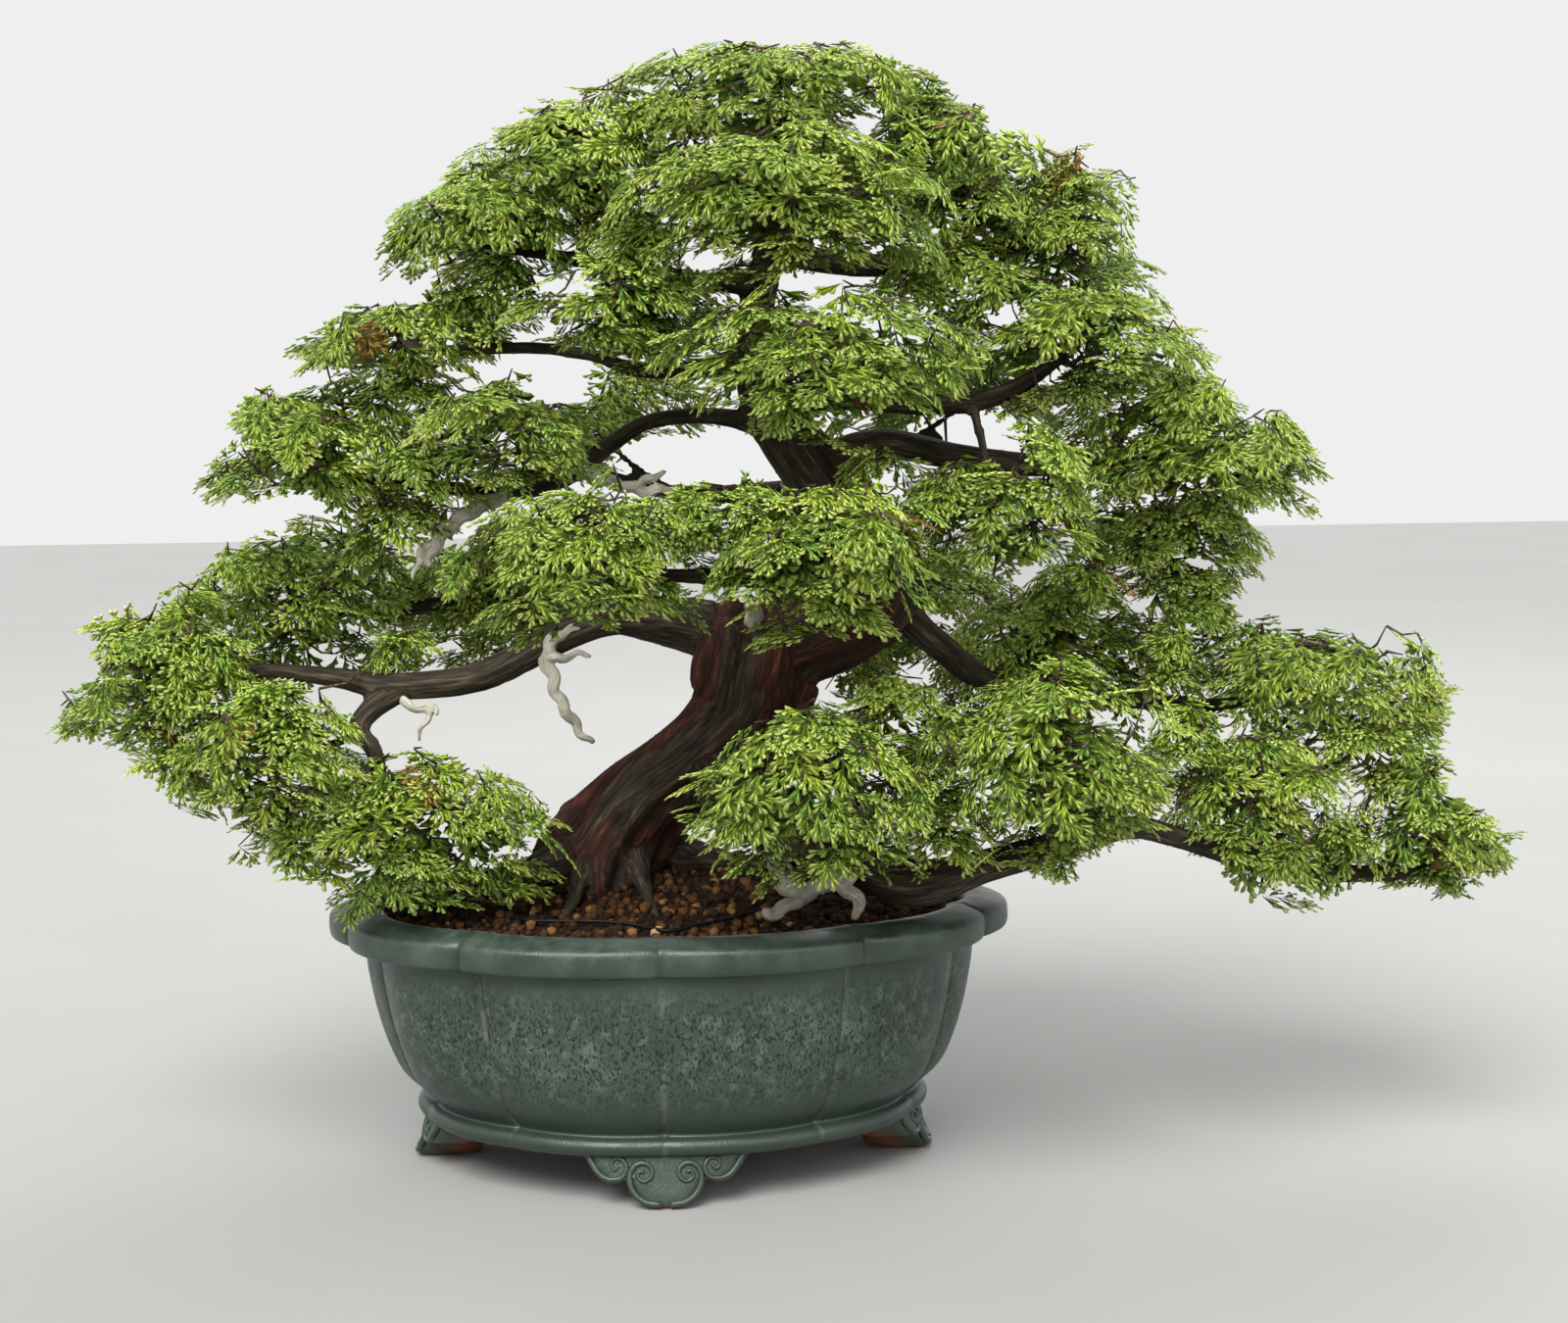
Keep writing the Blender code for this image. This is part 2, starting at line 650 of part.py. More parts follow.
def rosette(bounds, halves, count, layer, phase, draw):
    """The points of a ring of fans, each in its own wedge: for each fan two points of the
    core, the notch before the fan, and the fan."""
    level, reach, low_tip, high_tip = layer
    centre = ring_centre(bounds, level * halves[2])
    swing = draw.choice((-1, 1)) * FAN_LIFT * halves[2]
    notches, fans = [], []
    for index in range(count):
        turn = math.tau * (index + phase) / count
        ways = [
            halves * (math.cos(turn + side * math.pi / count), math.sin(turn + side * math.pi / count), 0)
            for side in (-1, 1)
        ]
        share = reach * draw.uniform(*FAN_REACH_DRAW)
        tip = halves * (share * math.cos(turn), share * math.sin(turn), draw.uniform(low_tip, high_tip))
        wedge = min(flat_angle(way, tip) for way in ways)
        notches.append(ways[0] * reach * FAN_ROOT)
        fans.append(fan(centre, tip, wedge, swing * draw.uniform(*FAN_LIFT_DRAW), bounds))
    points = []
    for index, (notch, (blade, size)) in enumerate(zip(notches, fans)):
        notch = notch * min(size, fans[index - 1][1], room_share(bounds, centre, notch))
        core = centre + notch * PAD_CORE / FAN_ROOT
        points += [core - (0, 0, FAN_HUB), core + (0, 0, FAN_HUB), centre + notch]
        points += [centre + way * size for way in blade]
    return points


def rosette_faces(count, first):
    """The upper and under side of a ring of fans, open at the core."""
    rim_points = 2 * len(FAN_SIDE) + 1
    per_fan = 3 + rim_points + 2
    faces = []
    for index in range(count):
        own = first + index * per_fan
        after = first + (index + 1) % count * per_fan
        rim = [own + 2, *range(own + 2 + rim_points, own + 2, -1), after + 2]
        high, low = own + per_fan - 2, own + per_fan - 1
        for start, end in zip(rim, rim[1:]):
            faces.append((start, end, high))
            faces.append((end, start, low))
        faces += [(own + 1, own + 2, high), (own + 1, high, after + 1), (after + 1, high, after + 2)]
        faces += [(own, low, own + 2), (own, after, low), (after, after + 2, low)]
    lower = [first + index * per_fan for index in range(count)]
    upper = [point + 1 for point in lower]
    return faces, lower, upper


def make_pad(pad, index, clearance):
    """A pad of foliage: two rings of cut-edged fans, one above the other round a core."""
    _, middle, halves = PADS[pad]
    halves = np.array(halves, float)
    draw = np.random.default_rng(SEED + index)
    bounds = bounds_of(pad)
    count = max(FEWEST_FANS, round(math.pi * (halves[0] + halves[1]) / FAN_SPACING))
    phase = draw.uniform(0, 1)
    points, faces, edges = [], [], []
    for layer in PAD_LAYERS:
        layer_faces, lower, upper = rosette_faces(count, len(points))
        points += rosette(bounds, halves, count, layer, phase, draw)
        faces += layer_faces
        edges += [lower, upper]
        phase += 0.5
    foot, top = len(points), len(points) + 1
    for level in (PAD_CORE_FOOT, PAD_CORE_TOP):
        way = np.array((0.0, 0.0, level * halves[2]))
        points.append(way * room_share(bounds, np.zeros(3), way))
    for index in range(count):
        after = (index + 1) % count
        faces.append((edges[1][index], edges[1][after], edges[2][after], edges[2][index]))
        faces.append((edges[0][after], edges[0][index], foot))
        faces.append((edges[3][index], edges[3][after], top))
    surface = material(f"foliage_{pad}_green", GREEN, 0.6)
    made = node(f"foliage_{pad}", points, faces, surface, middle)
    cut(made, clearance)
    keep_largest_body(made)
    return made


def make_deadwood(name, clearance):
    shapes = [tube(stem, DEADWOOD_SIDES) for stem in DEADWOOD[name]]
    surface = material(name + "_bleached", BLEACHED, 0.8)
    made = fused(name, shapes, surface) if len(shapes) > 1 else node(name, *shapes[0], surface)
    cut(made, clearance)
    keep_largest_body(made)
    return made


def make_wire(soil):
    """The wire as a bevelled curve that lies on the soil."""
    route = smooth_path([(x, y, 0.0) for x, y in WIRE_ROUTE], 4)
    picked = route[np.linspace(0, len(route) - 1, WIRE_POINTS).round().astype(int)]
    curve = bpy.data.curves.new("tie_wire", "CURVE")
    curve.dimensions = "3D"
    curve.bevel_depth = WIRE_RADIUS * MM
    curve.bevel_resolution = 0
    curve.use_fill_caps = True
    spline = curve.splines.new("POLY")
    spline.points.add(len(picked) - 1)
    for point, (x, y, _) in zip(spline.points, picked):
        _, ground, _, _ = soil.ray_cast((x * MM, y * MM, 1.0), (0, 0, -1))
        point.co = (x * MM, y * MM, ground.z + WIRE_LIFT * MM, 1)
    wire = bpy.data.objects.new("tie_wire", curve)
    bpy.context.scene.collection.objects.link(wire)
    curve.materials.append(material("wire_black", BLACK, 0.5, 1.0))
    return wire


def main():
    remove(bpy.data.objects)
    bark = material("bark", BARK, 0.85)
    wood = fused("trunk_and_branches", wood_shapes(0.0), bark)
    clearance = fused("wood_clearance", wood_shapes(GAP), bark)
    soil = make_soil(clearance)
    made = [wood, make_pot(), soil, make_wire(soil)]
    made.append(make_screen("drain_screen_left", -DRAIN_HOLE_X))
    made.append(make_screen("drain_screen_right", DRAIN_HOLE_X))
    for name in DEADWOOD:
        made.append(make_deadwood(name, clearance))
    for index, pad in enumerate(PADS):
        made.append(make_pad(pad, index, clearance))
    remove([clearance])
    root = bpy.data.objects.new("bonsai", None)
    bpy.context.scene.collection.objects.link(root)
    root.location = (POT_X * MM, POT_Y * MM, 0.0)
    for piece in made:
        piece.parent = root


main()
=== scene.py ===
"""Looks of a hinoki cypress bonsai in a glazed ten-lobed pot.

Front is -Y and up is +Z. Tables and shapes are in millimetres, laid out from the point on
the ground under the middle of the pot, and turn into metres where a mesh is made.
"""
import math

import bpy
import numpy as np
from mathutils import Matrix, Vector, noise
from mathutils.geometry import tessellate_polygon

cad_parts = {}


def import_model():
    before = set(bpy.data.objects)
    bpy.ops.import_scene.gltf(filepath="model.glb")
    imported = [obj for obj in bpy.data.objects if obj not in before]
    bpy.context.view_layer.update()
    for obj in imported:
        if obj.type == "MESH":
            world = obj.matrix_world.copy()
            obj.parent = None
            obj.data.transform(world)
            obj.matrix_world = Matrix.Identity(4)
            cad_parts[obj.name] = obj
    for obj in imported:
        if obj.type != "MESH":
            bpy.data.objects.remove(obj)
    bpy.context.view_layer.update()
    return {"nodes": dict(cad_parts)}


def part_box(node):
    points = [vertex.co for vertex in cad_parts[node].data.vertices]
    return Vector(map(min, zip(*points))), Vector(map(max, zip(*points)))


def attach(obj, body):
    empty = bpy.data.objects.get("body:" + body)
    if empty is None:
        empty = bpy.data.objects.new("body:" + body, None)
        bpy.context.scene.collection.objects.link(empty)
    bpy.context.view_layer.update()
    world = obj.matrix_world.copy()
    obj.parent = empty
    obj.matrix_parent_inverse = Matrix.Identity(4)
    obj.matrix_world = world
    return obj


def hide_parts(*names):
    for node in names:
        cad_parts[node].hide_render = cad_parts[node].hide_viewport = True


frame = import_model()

MM = 0.001
SEED = 7

POT_LOW, POT_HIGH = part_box("pot")
POT_HALF_WIDTH = (POT_HIGH.x - POT_LOW.x) / 2 / MM
POT_MIDDLE = np.array(((POT_LOW.x + POT_HIGH.x) / 2, (POT_LOW.y + POT_HIGH.y) / 2, 0.0)) / MM
PADS = sorted(name for name in frame["nodes"] if name.startswith("foliage_"))

# Living wood: x, y, z and radius along each stem, and the trunk's ridges, each with how many
# lie round it, how far they twist on the way up, and how high they are as a share of the radius
TRUNK = (
    (-48, 22, 150, 44), (-46, 22, 180, 44), (-38, 22, 205, 38), (-17, 23, 236, 32),
    (22, 25, 266, 31), (50, 25, 298, 32), (58, 22, 326, 37), (63, 20, 353, 34),
)
TRUNK_SIDES = 48
TRUNK_STEPS = 10
TRUNK_RIDGES = ((3, 4.9, 0.13), (5, -3.5, 0.078))
ROOTS = (
    ((-60, 10, 200, 17), (-88, -4, 192, 12), (-104, -18, 181, 8), (-116, -30, 168, 5)),
    ((-50, 0, 200, 14), (-58, -28, 187, 7), (-62, -50, 176, 4.2), (-72, -66, 166, 2.5)),
    ((-25, 2, 205, 13), (-16, -26, 188, 6.5), (-10, -48, 177, 4), (-2, -66, 167, 2.5)),
    ((-20, 30, 205, 18), (18, 34, 193, 12), (46, 40, 184, 8), (70, 52, 168, 5)),
    ((-60, 35, 200, 17), (-84, 54, 188, 11), (-100, 66, 178, 7), (-114, 78, 166, 4)),
    ((-35, 45, 200, 15), (-26, 70, 186, 10), (-20, 86, 176, 6), (-14, 98, 166, 4)),
)
LIMBS = {
    "leader": (
        (64, 22, 338, 30), (92, 20, 346, 30), (122, 10, 360, 28), (144, 2, 380, 26),
        (136, 0, 408, 24), (120, 5, 430, 22), (101, 10, 456, 21), (84, 10, 482, 19),
        (71, 10, 508, 17), (64, 5, 550, 13), (74, 0, 598, 10), (84, 0, 640, 8), (80, 0, 690, 4),
    ),
    "left": (
        (54, 20, 342, 21), (26, 18, 354, 17), (-8, 10, 359, 14), (-37, 0, 360, 12),
        (-72, -5, 348, 11), (-121, -15, 325, 10), (-178, -20, 320, 9), (-218, -12, 326, 7),
        (-270, -5, 330, 5), (-315, -10, 322, 4),
    ),
    "left_drop": (
        (-168, -20, 320, 8), (-190, -26, 307, 8), (-200, -32, 293, 7),
        (-189, -40, 282, 6), (-185, -46, 262, 5), (-178, -50, 236, 4),
    ),
    "left_behind": (
        (-20, 6, 358, 11), (-75, 45, 362, 8), (-130, 75, 366, 7), (-190, 70, 362, 5),
        (-245, 60, 362, 4),
    ),
    "third_left": (
        (92, 14, 476, 11), (44, 16, 492, 6.5), (-4, 10, 491, 5.5), (-32, 0, 476, 6),
        (-60, -8, 456, 6.5), (-100, -16, 446, 6), (-160, -8, 452, 4.5), (-218, 0, 456, 3.5),
    ),
    "second_left": (
        (66, 6, 532, 10), (20, -8, 524, 6), (-16, -14, 525, 5.4), (-40, -16, 534, 4.6),
        (-84, -12, 540, 4.2), (-135, -5, 539, 4), (-172, 0, 542, 3.4),
    ),
    "upper_left": ((72, 0, 580, 9), (20, -6, 582, 6), (-48, -10, 596, 5), (-104, -10, 606, 4)),
    "upper_right": ((76, 0, 600, 9), (140, 2, 590, 8), (204, 6, 598, 6), (260, 10, 612, 4)),
    "second_right": (
        (78, 8, 502, 13), (124, -22, 505, 9), (180, -30, 499, 7.5), (226, -26, 506, 6.5),
        (266, -20, 530, 4),
    ),
    "second_front": ((84, 4, 496, 11), (96, -50, 504, 8), (104, -112, 518, 4)),
    "third_right": (
        (104, 10, 460, 14), (148, 6, 473, 11), (196, 0, 464, 9), (248, 0, 458, 8),
        (300, 0, 458, 6), (332, 0, 462, 4),
    ),
    "front": (
        (118, 6, 372, 16), (98, -56, 388, 11), (72, -110, 396, 8), (20, -140, 400, 5),
        (-36, -150, 404, 4),
    ),
    "right": (
        (140, 4, 384, 15), (168, 8, 352, 11), (186, 14, 336, 10), (214, 24, 314, 9),
        (262, 34, 305, 8), (320, 36, 296, 7), (372, 34, 292, 5), (428, 30, 298, 4),
    ),
    "low_right": (
        (22, 18, 262, 24), (74, -22, 222, 18), (124, -58, 204, 15), (164, -80, 195, 15),
        (205, -84, 206, 11), (255, -78, 217, 9.5), (300, -64, 226, 8), (334, -50, 217, 7.5),
        (400, -30, 192, 7), (466, -18, 184, 6), (515, -10, 185, 4),
    ),
    "low_behind": ((48, 40, 312, 15), (26, 92, 330, 10), (-44, 150, 342, 7), (-108, 180, 344, 4)),
    "low_behind_right": ((34, 74, 322, 9), (96, 132, 328, 7), (150, 196, 330, 4)),
    "third_behind": ((110, 18, 432, 13), (88, 78, 438, 9), (6, 128, 436, 6), (-56, 160, 452, 4)),
    "third_behind_right": ((90, 66, 454, 8), (148, 124, 466, 6), (196, 158, 470, 4)),
    "crown_behind": ((82, 2, 600, 8), (84, 50, 612, 6), (82, 104, 630, 4)),
}
LIMB_SIDES = 18
LIMB_STEPS = 6

# Skin of the living wood: the size of its cells, the height of its flutes and fibres as shares
# of the stem's radius, how closely they lie, the radii between which flutes come up, and the
# most that the skin rises
WOOD_CELL = 3.1
FLUTE_RISE = 0.26
FIBRE_RISE = 0.07
FLUTE_CLOSENESS = 0.055
FIBRE_CLOSENESS = 0.15
FLUTED_RADII = (5.0, 25.0)
MOST_RISE = 7.0
ALONG_SQUEEZE = 0.10

# How many points are set against the stems at a time
POINTS_AT_ONCE = 4000

# Dead branches: x, y, z and radius along each stem, their ridges, and how they sway and crack
DEADWOOD = {
    "deadwood_hanging": (
        ((-40, -2, 356, 5.5), (-62, -10, 354, 6), (-76, -14, 343, 5.6), (-74, -16, 328, 4.6),
         (-69, -18, 310, 4.2), (-58, -20, 292, 3.6), (-48, -20, 279, 2.0)),
        ((-78, -14, 336, 4.2), (-64, -18, 338, 3.2), (-47, -20, 340, 1.8)),
    ),
    "deadwood_small_left": (
        ((-172, -22, 318, 4), (-168, -28, 309, 3.4), (-150, -30, 306, 2.6), (-146, -31, 303, 1.6)),
        ((-152, -29, 306, 2.6), (-156, -30, 296, 2.2), (-162, -31, 286, 1.4)),
    ),
    "deadwood_third_left": (
        ((-98, -17, 446, 5), (-120, -26, 436, 5.6), (-142, -33, 420, 4.8), (-150, -36, 400, 2.6)),
        ((-142, -33, 420, 3.4), (-155, -36, 408, 2.6), (-159, -37, 392, 1.6)),
    ),
    "deadwood_third_inner": (
        ((-54, -8, 460, 5), (-30, -24, 452, 4.6), (-4, -30, 446, 3.8), (12, -32, 449, 2.2)),
        ((-14, -28, 448, 3.2), (-5, -30, 456, 3.2), (5, -32, 457, 1.6)),
    ),
    "deadwood_low": (
        ((74, -30, 208, 8), (76, -56, 197, 8), (90, -74, 188, 6.5), (104, -80, 196, 5.5),
         (118, -86, 194, 5.5), (125, -90, 182, 4), (123, -91, 174, 2.4)),
        ((108, -81, 194, 4), (120, -84, 200, 2.8), (126, -84, 206, 1.4)),
        ((92, -74, 188, 5), (80, -80, 181, 4.6), (69, -84, 177, 4.8), (63, -86, 178, 2.8)),
    ),
    "deadwood_fork": (((60, 8, 352, 7), (60, -12, 366, 5), (56, -24, 374, 3)),),
}
DEADWOOD_SIDES = 16
DEADWOOD_STEPS = 8
DEADWOOD_RIDGES = ((3, 7.0, 0.14), (5, -9.0, 0.08))
DEADWOOD_CELL = 1.25
DEADWOOD_WAVE = 17.0
DEADWOOD_TWIST = 0.7
DEADWOOD_SWAY = 1.9
DEADWOOD_SHRINK = 0.92
DEADWOOD_RISE = 0.16
CRACK_CLOSENESS = 0.45

# Twig to a pad: its radius at the tip and at the start, how that grows with its length, the
# most of the stem that it takes up, and how far it hangs through
TWIG_RADIUS = 2.6
TWIG_START = 3.5
TWIG_GROWTH = 0.02
TWIG_SHARE = 0.55
TWIG_HANG = 0.06

# Fine twigs inside a pad: how many joints of its twig they fork from, their radii at the fork
# and at the spray, and the lengths from which they are drawn and from which they hang through
TWIG_JOINTS = 6
FORK_RADIUS = 1.2
STALK_RADIUS = 0.55
STALK_SIDES = 3
SHORTEST_TWIG = 1.0
STRAIGHT_TWIG = 20.0
TWIG_SAG = 0.15

# Spray of foliage: a flat fan of side axes on a stem, each a blade with fingers along it, and
# one more axis on top. Angles are in degrees, and pairs are the limits of a random draw
SPRAY_KINDS = 8
SPRAY_LENGTH = 36.0
SPRAY_DROOP = 0.005
SPRAY_SIZE = (0.75, 1.15)
SPRAY_ROOT = 0.62
STEM_SHARE = 0.7
STEM_WIDTH = 1.6
SIDE_AXES = 6
SIDE_FIRST = 0.4
SIDE_SPAN = 0.72
SIDE_REACH = 16.0
SIDE_REACHES = (0.8, 1.1)
SIDE_SHRINK = 0.42
SIDE_ROUNDING = 1.5
SIDE_ANGLE = 62
SIDE_CLOSING = 34
SIDE_SPREAD = 6
TOP_START = 0.60
TOP_SHARE = 0.36
BLADE_WIDTH = 5.4
BLADE_SINK = 0.5
FINGER_PITCH = 6.0
FINGER_FIRST = 0.7
FINGER_SPAN = 0.85
FINGER_LENGTH = 9.0
FINGER_LENGTHS = (0.85, 1.15)
FINGER_LONGEST = 1.1
FINGER_SHRINK = 0.40
FINGER_WIDTH = 3.1
FINGER_WIDTHS = (0.85, 1.1)
FINGER_WIDEST = 0.78
FINGER_THICK = 0.8
FINGER_ANGLES = (26, 38)
FINGER_LIFT = (-0.3, 0.5)
END_START = 0.80
END_LENGTH = 0.9

# How young a spray looks, from 0 to 1: at the corners of its stem and of a finger, for a finger
# at the root, how much a finger and an axis add, for blades and fingers along an axis, and the least
# of all. Blades get less youth than fingers, so they come out darker: painted shade under the fingers
STEM_YOUTH = (0.0, 0.2, 0.2, 0.4)
FINGER_YOUTH = (0.0, 0.8, 0.8, 1.0)
ROOT_YOUTH = 0.28
ALONG_FINGER = 0.30
ALONG_AXIS = 0.40
BLADE_YOUTH_AND_SHADE = (-0.15, 0.35)
FINGERS_YOUTH = (0.3, 1.0)
LEAST_YOUTH = 0.12

# Pad of foliage: the area that a spray has on it and on its core of older sprays, and the
# core's size, its painted shade, which darkens the core as the shade inside the pad, and the
# width of its blades
SPRAY_AREA = 346.0
INNER_AREA = 450.0
INNER_SHARE = 0.62
INNER_PAINTED_SHADE = 0.25
INNER_WIDTH = 9.0

# How the sprays of a pad lie: how far out, how few of them below and from which slope, how far
# they tip, rise and turn, and how near the middle of another pad they are left out
PAD_SHARE = (0.86, 1.0)
BELOW_SHARE = 0.45
BELOW_FROM = -0.35
TIP_OUT = (0.0, 0.9)
TIP_SPREAD = 0.14
STAND_UP = (0, 0, 0.6)
REACH_UP = (0, 0, 0.35)
TURN_SPREAD = 0.65
HIDDEN_SHARE = 0.80

# How yellow the sprays of a pad are, the share that dies off, and their painted light: lighter
# near the top of a pad and darker below, as painted shade
TINT_MIDDLE = 0.6
TINT_SPREAD = 0.32
LEAST_TINT = 0.03
DYING_SHARE = 0.006
PAINTED_LIGHT_MIDDLE = 0.62
PAINTED_LIGHT_SLOPE = 0.5

# Lumps and wavy layers of a pad, the power in the formula for its area, and how far the sprays
# stay out of a gap
PAD_LUMPS = 0.30
LUMP_CLOSENESS = 1.6
LUMP_SHIFT = 0.01
LAYER_STEP = 23.0
LAYER_PULL = 0.45
LAYER_WAVE = 26.0
LAYER_CLOSENESS = (0.011, 0.011, 0.004)
AREA_POWER = 1.6
GAP_MARGIN = 2.0

# Clumps of sprays between the pads, on the twigs of a pad: middle, half width and half height
CLUMPS = {
    "foliage_crown_top": ((-38, 0, 700, 36, 18), (187, 0, 696, 28, 14)),
    "foliage_crown_front": ((13, -30, 676, 32, 22),),
    "foliage_crown_right": ((280, 0, 643, 28, 16), (205, -20, 623, 36, 26)),
    "foliage_upper_right": ((192, -10, 576, 60, 26),),
    "foliage_crown_left": ((-20, -30, 608, 34, 20), (-52, -24, 650, 24, 20), (-116, 0, 652, 18, 14)),
    "foliage_upper_left": ((-102, -16, 575, 32, 20), (-156, 0, 612, 18, 14)),
    "foliage_second_left_inner": ((-8, -50, 546, 36, 16), (38, -50, 551, 20, 13)),
    "foliage_second_left": (
        (-210, 0, 530, 26, 16), (-159, 0, 506, 32, 17), (-193, -10, 562, 16, 14),
    ),
    "foliage_third_left": (
        (-150, -30, 452, 38, 24), (-173, -10, 420, 32, 24), (-278, 0, 472, 20, 20),
        (-250, 0, 496, 22, 10),
    ),
    "foliage_front_left": ((0, -150, 440, 50, 22),),
    "foliage_front_right": ((45, -155, 438, 42, 20),),
    "foliage_third_right_inner": ((146, -70, 450, 28, 24),),
    "foliage_third_right": ((395, 0, 434, 34, 20), (408, 0, 462, 22, 14), (352, 0, 488, 24, 10)),
    "foliage_fourth_right": ((351, 30, 360, 34, 24), (275, -10, 380, 32, 12)),
    "foliage_low_left_inner": ((-174, 0, 340, 24, 13),),
    "foliage_low_back_right": ((130, 120, 314, 28, 18),),
    "foliage_low_right_back": ((331, 0, 328, 20, 17),),
    "foliage_low_left": (
        (-380, -10, 296, 20, 20), (-328, -40, 262, 40, 24), (-313, 0, 372, 22, 14),
        (-360, 0, 356, 18, 13),
    ),
    "foliage_fourth_left": ((-274, 20, 402, 26, 13),),
    "foliage_low_left_front": (
        (-266, -50, 212, 28, 24), (-230, -60, 206, 24, 20), (-165, -80, 216, 24, 13),
    ),
    "foliage_low_front_left": (
        (150, -115, 298, 44, 30), (174, -110, 238, 40, 22), (60, -150, 238, 22, 14),
    ),
    "foliage_low_front_right": (
        (290, -60, 246, 28, 22), (238, -85, 214, 24, 13), (255, -70, 262, 32, 14),
    ),
    "foliage_low_right_far": ((341, -40, 276, 30, 24), (504, 0, 288, 16, 14)),
    "foliage_far_right_inner": ((476, 0, 270, 50, 22), (453, -10, 198, 28, 15)),
    "foliage_far_right": ((530, 0, 190, 30, 16), (524, 0, 232, 18, 16), (550, 0, 204, 14, 12)),
}

# Gaps that show light from the front: middle, across and up, and half width and height
GAPS = (
    (-60, 519, 24, 14), (27, 468, 52, 16), (197, 480, 44, 15), (-57, 316, 60, 34),
    (-24, 342, 34, 16), (100, 320, 8, 10), (-268, 432, 24, 14), (-395, 340, 20, 20),
    (444, 360, 58, 13), (543, 246, 28, 18), (-226, 563, 18, 12), (-158, 579, 10, 8),
    (234, 687, 20, 11), (99, 741, 60, 6), (321, 188, 44, 14), (-290, 485, 13, 11),
    (104, 567, 14, 6), (-376, 256, 14, 13), (-346, 240, 14, 12), (-318, 228, 10, 9),
    (-400, 282, 14, 9), (-304, 200, 10, 12), (-262, 186, 22, 8), (-60, 246, 12, 12),
    (430, 500, 22, 14), (-168, 650, 11, 11), (-50, 719, 30, 7), (300, 662, 20, 10),
    (16, 740, 12, 5), (164, 727, 14, 6), (198, 707, 17, 6), (232, 680, 8, 5),
    (318, 606, 8, 8), (-229, 523, 16, 6), (-84, 516, 8, 10), (-306, 408, 8, 10),
    (-51, 581, 16, 6), (229, 561, 10, 7), (398, 366, 14, 6), (302, 290, 14, 5),
    (560, 222, 8, 10), (552, 168, 18, 7), (-192, 579, 20, 8), (-180, 618, 9, 8),
    (-243, 441, 18, 9), (-150, 418, 9, 5), (-122, 415, 11, 5), (-228, 340, 8, 8),
    (-135, 272, 20, 8), (-176, 266, 6, 7), (-353, 259, 8, 12), (-292, 222, 7, 7),
    (-236, 172, 13, 9), (-212, 194, 7, 5), (372, 176, 14, 4), (407, 170, 7, 7),
    (483, 339, 13, 6), (522, 318, 7, 7), (412, 421, 12, 13), (389, 502, 11, 7),
    (367, 544, 6, 11), (267, 587, 7, 6), (130, 483, 10, 5), (156, 453, 7, 5),
    (-6, 452, 14, 7), (187, 358, 8, 6), (-67, 588, 8, 4),
)

# Pot: half width, half depth, height and share by which the creases cut in, from the
# underside up the outside, over the lip and down the inside
LOBES = 10
POT_SIDES = 240
POT_STEPS = 3
POT_ROWS = (
    (110, 86, 31, 0.004), (158, 122, 31, 0.010), (165, 129, 31.5, 0.012),
    (169.5, 133.5, 33, 0.015), (171.3, 135.2, 36, 0.016), (171.3, 135.2, 39.5, 0.016),
    (169, 133, 42.5, 0.016), (165.5, 129.5, 44, 0.020), (165.5, 129, 46, 0.022),
    (170, 131.5, 50, 0.025), (182, 138, 61, 0.030), (191, 143, 80, 0.035), (198, 145, 104, 0.035),
    (203, 146, 130, 0.035), (204, 146, 146, 0.030), (205.5, 146.5, 149.5, 0.030),
    (214, 149, 150.5, 0.030), (224.5, 153.5, 151.5, 0.034), (227.3, 155, 155, 0.036),
    (227.5, 155.2, 163, 0.036), (225.5, 153.8, 168, 0.036), (217, 147, 171.5, 0.033),
    (207, 137.5, 174, 0.030), (200, 130, 172, 0.025),
    (196, 127, 164, 0.015), (188, 131, 120, 0.010), (171, 121, 62, 0.005), (150, 108, 47, 0.0),
)

# Drain holes, the rows below that stay bare, how full the lobes are, how the points crowd at
# the creases, the grooves that are cut where a crease is deep enough, and how the wall wavers
DRAIN_HOLE_X = 85.0
DRAIN_HOLE_RADIUS = 13.0
HOLE_SIDES = 32
BARE_ROWS = 2
LOBE_FULLNESS = 0.8
CREASE_CROWDING = 0.75
CREASE_GROOVE = 1.5
CREASE_WIDTH = 3.0
GROOVED_FROM = 0.018
POT_WAVER = 0.5
WAVER_CLOSENESS = 0.012

# Scroll foot: one side of its outline, across and up, the middle of its face, how it flares, the
# insets and depths of the rings that round its front, how far back and how low its glaze
# reaches, and where the foot starts on the glaze's height scale and how fast it climbs, which
# sets its speckles and its painted low shade. Each of the feet has its reach from the pot's
# middle, the bend of its face and its turn in degrees
FOOT_HALF_OUTLINE = (
    (0, 0), (8, 0), (15, 2.5), (21, 9), (24.5, 16), (26, 21), (31, 17.5), (39, 16.5), (46, 20.5),
    (51, 28), (51, 37),
)
FOOT_STEPS = 4
FOOT_MIDDLE = (0.0, 22.0)
FOOT_THICKNESS = 42.0
FOOT_FLARE = 0.30
FOOT_RINGS = (
    (0.50, 0.4), (0.74, 0.0), (0.86, 0.8), (0.94, 2.5), (0.985, 5.0), (1.0, 8.0),
    (1.0, 0.6 * FOOT_THICKNESS), (0.94, FOOT_THICKNESS),
)
FOOT_GLAZED = 16.0
FOOT_BLEND = 6.0
BARE_HEIGHT = 4.0
FOOT_SHADE = 0.30
FOOT_SHADING = 0.6
FEET = ((128.0, 215.0, 0.0), (163.0, 105.0, 90.0), (128.0, 215.0, 180.0), (163.0, 105.0, -90.0))

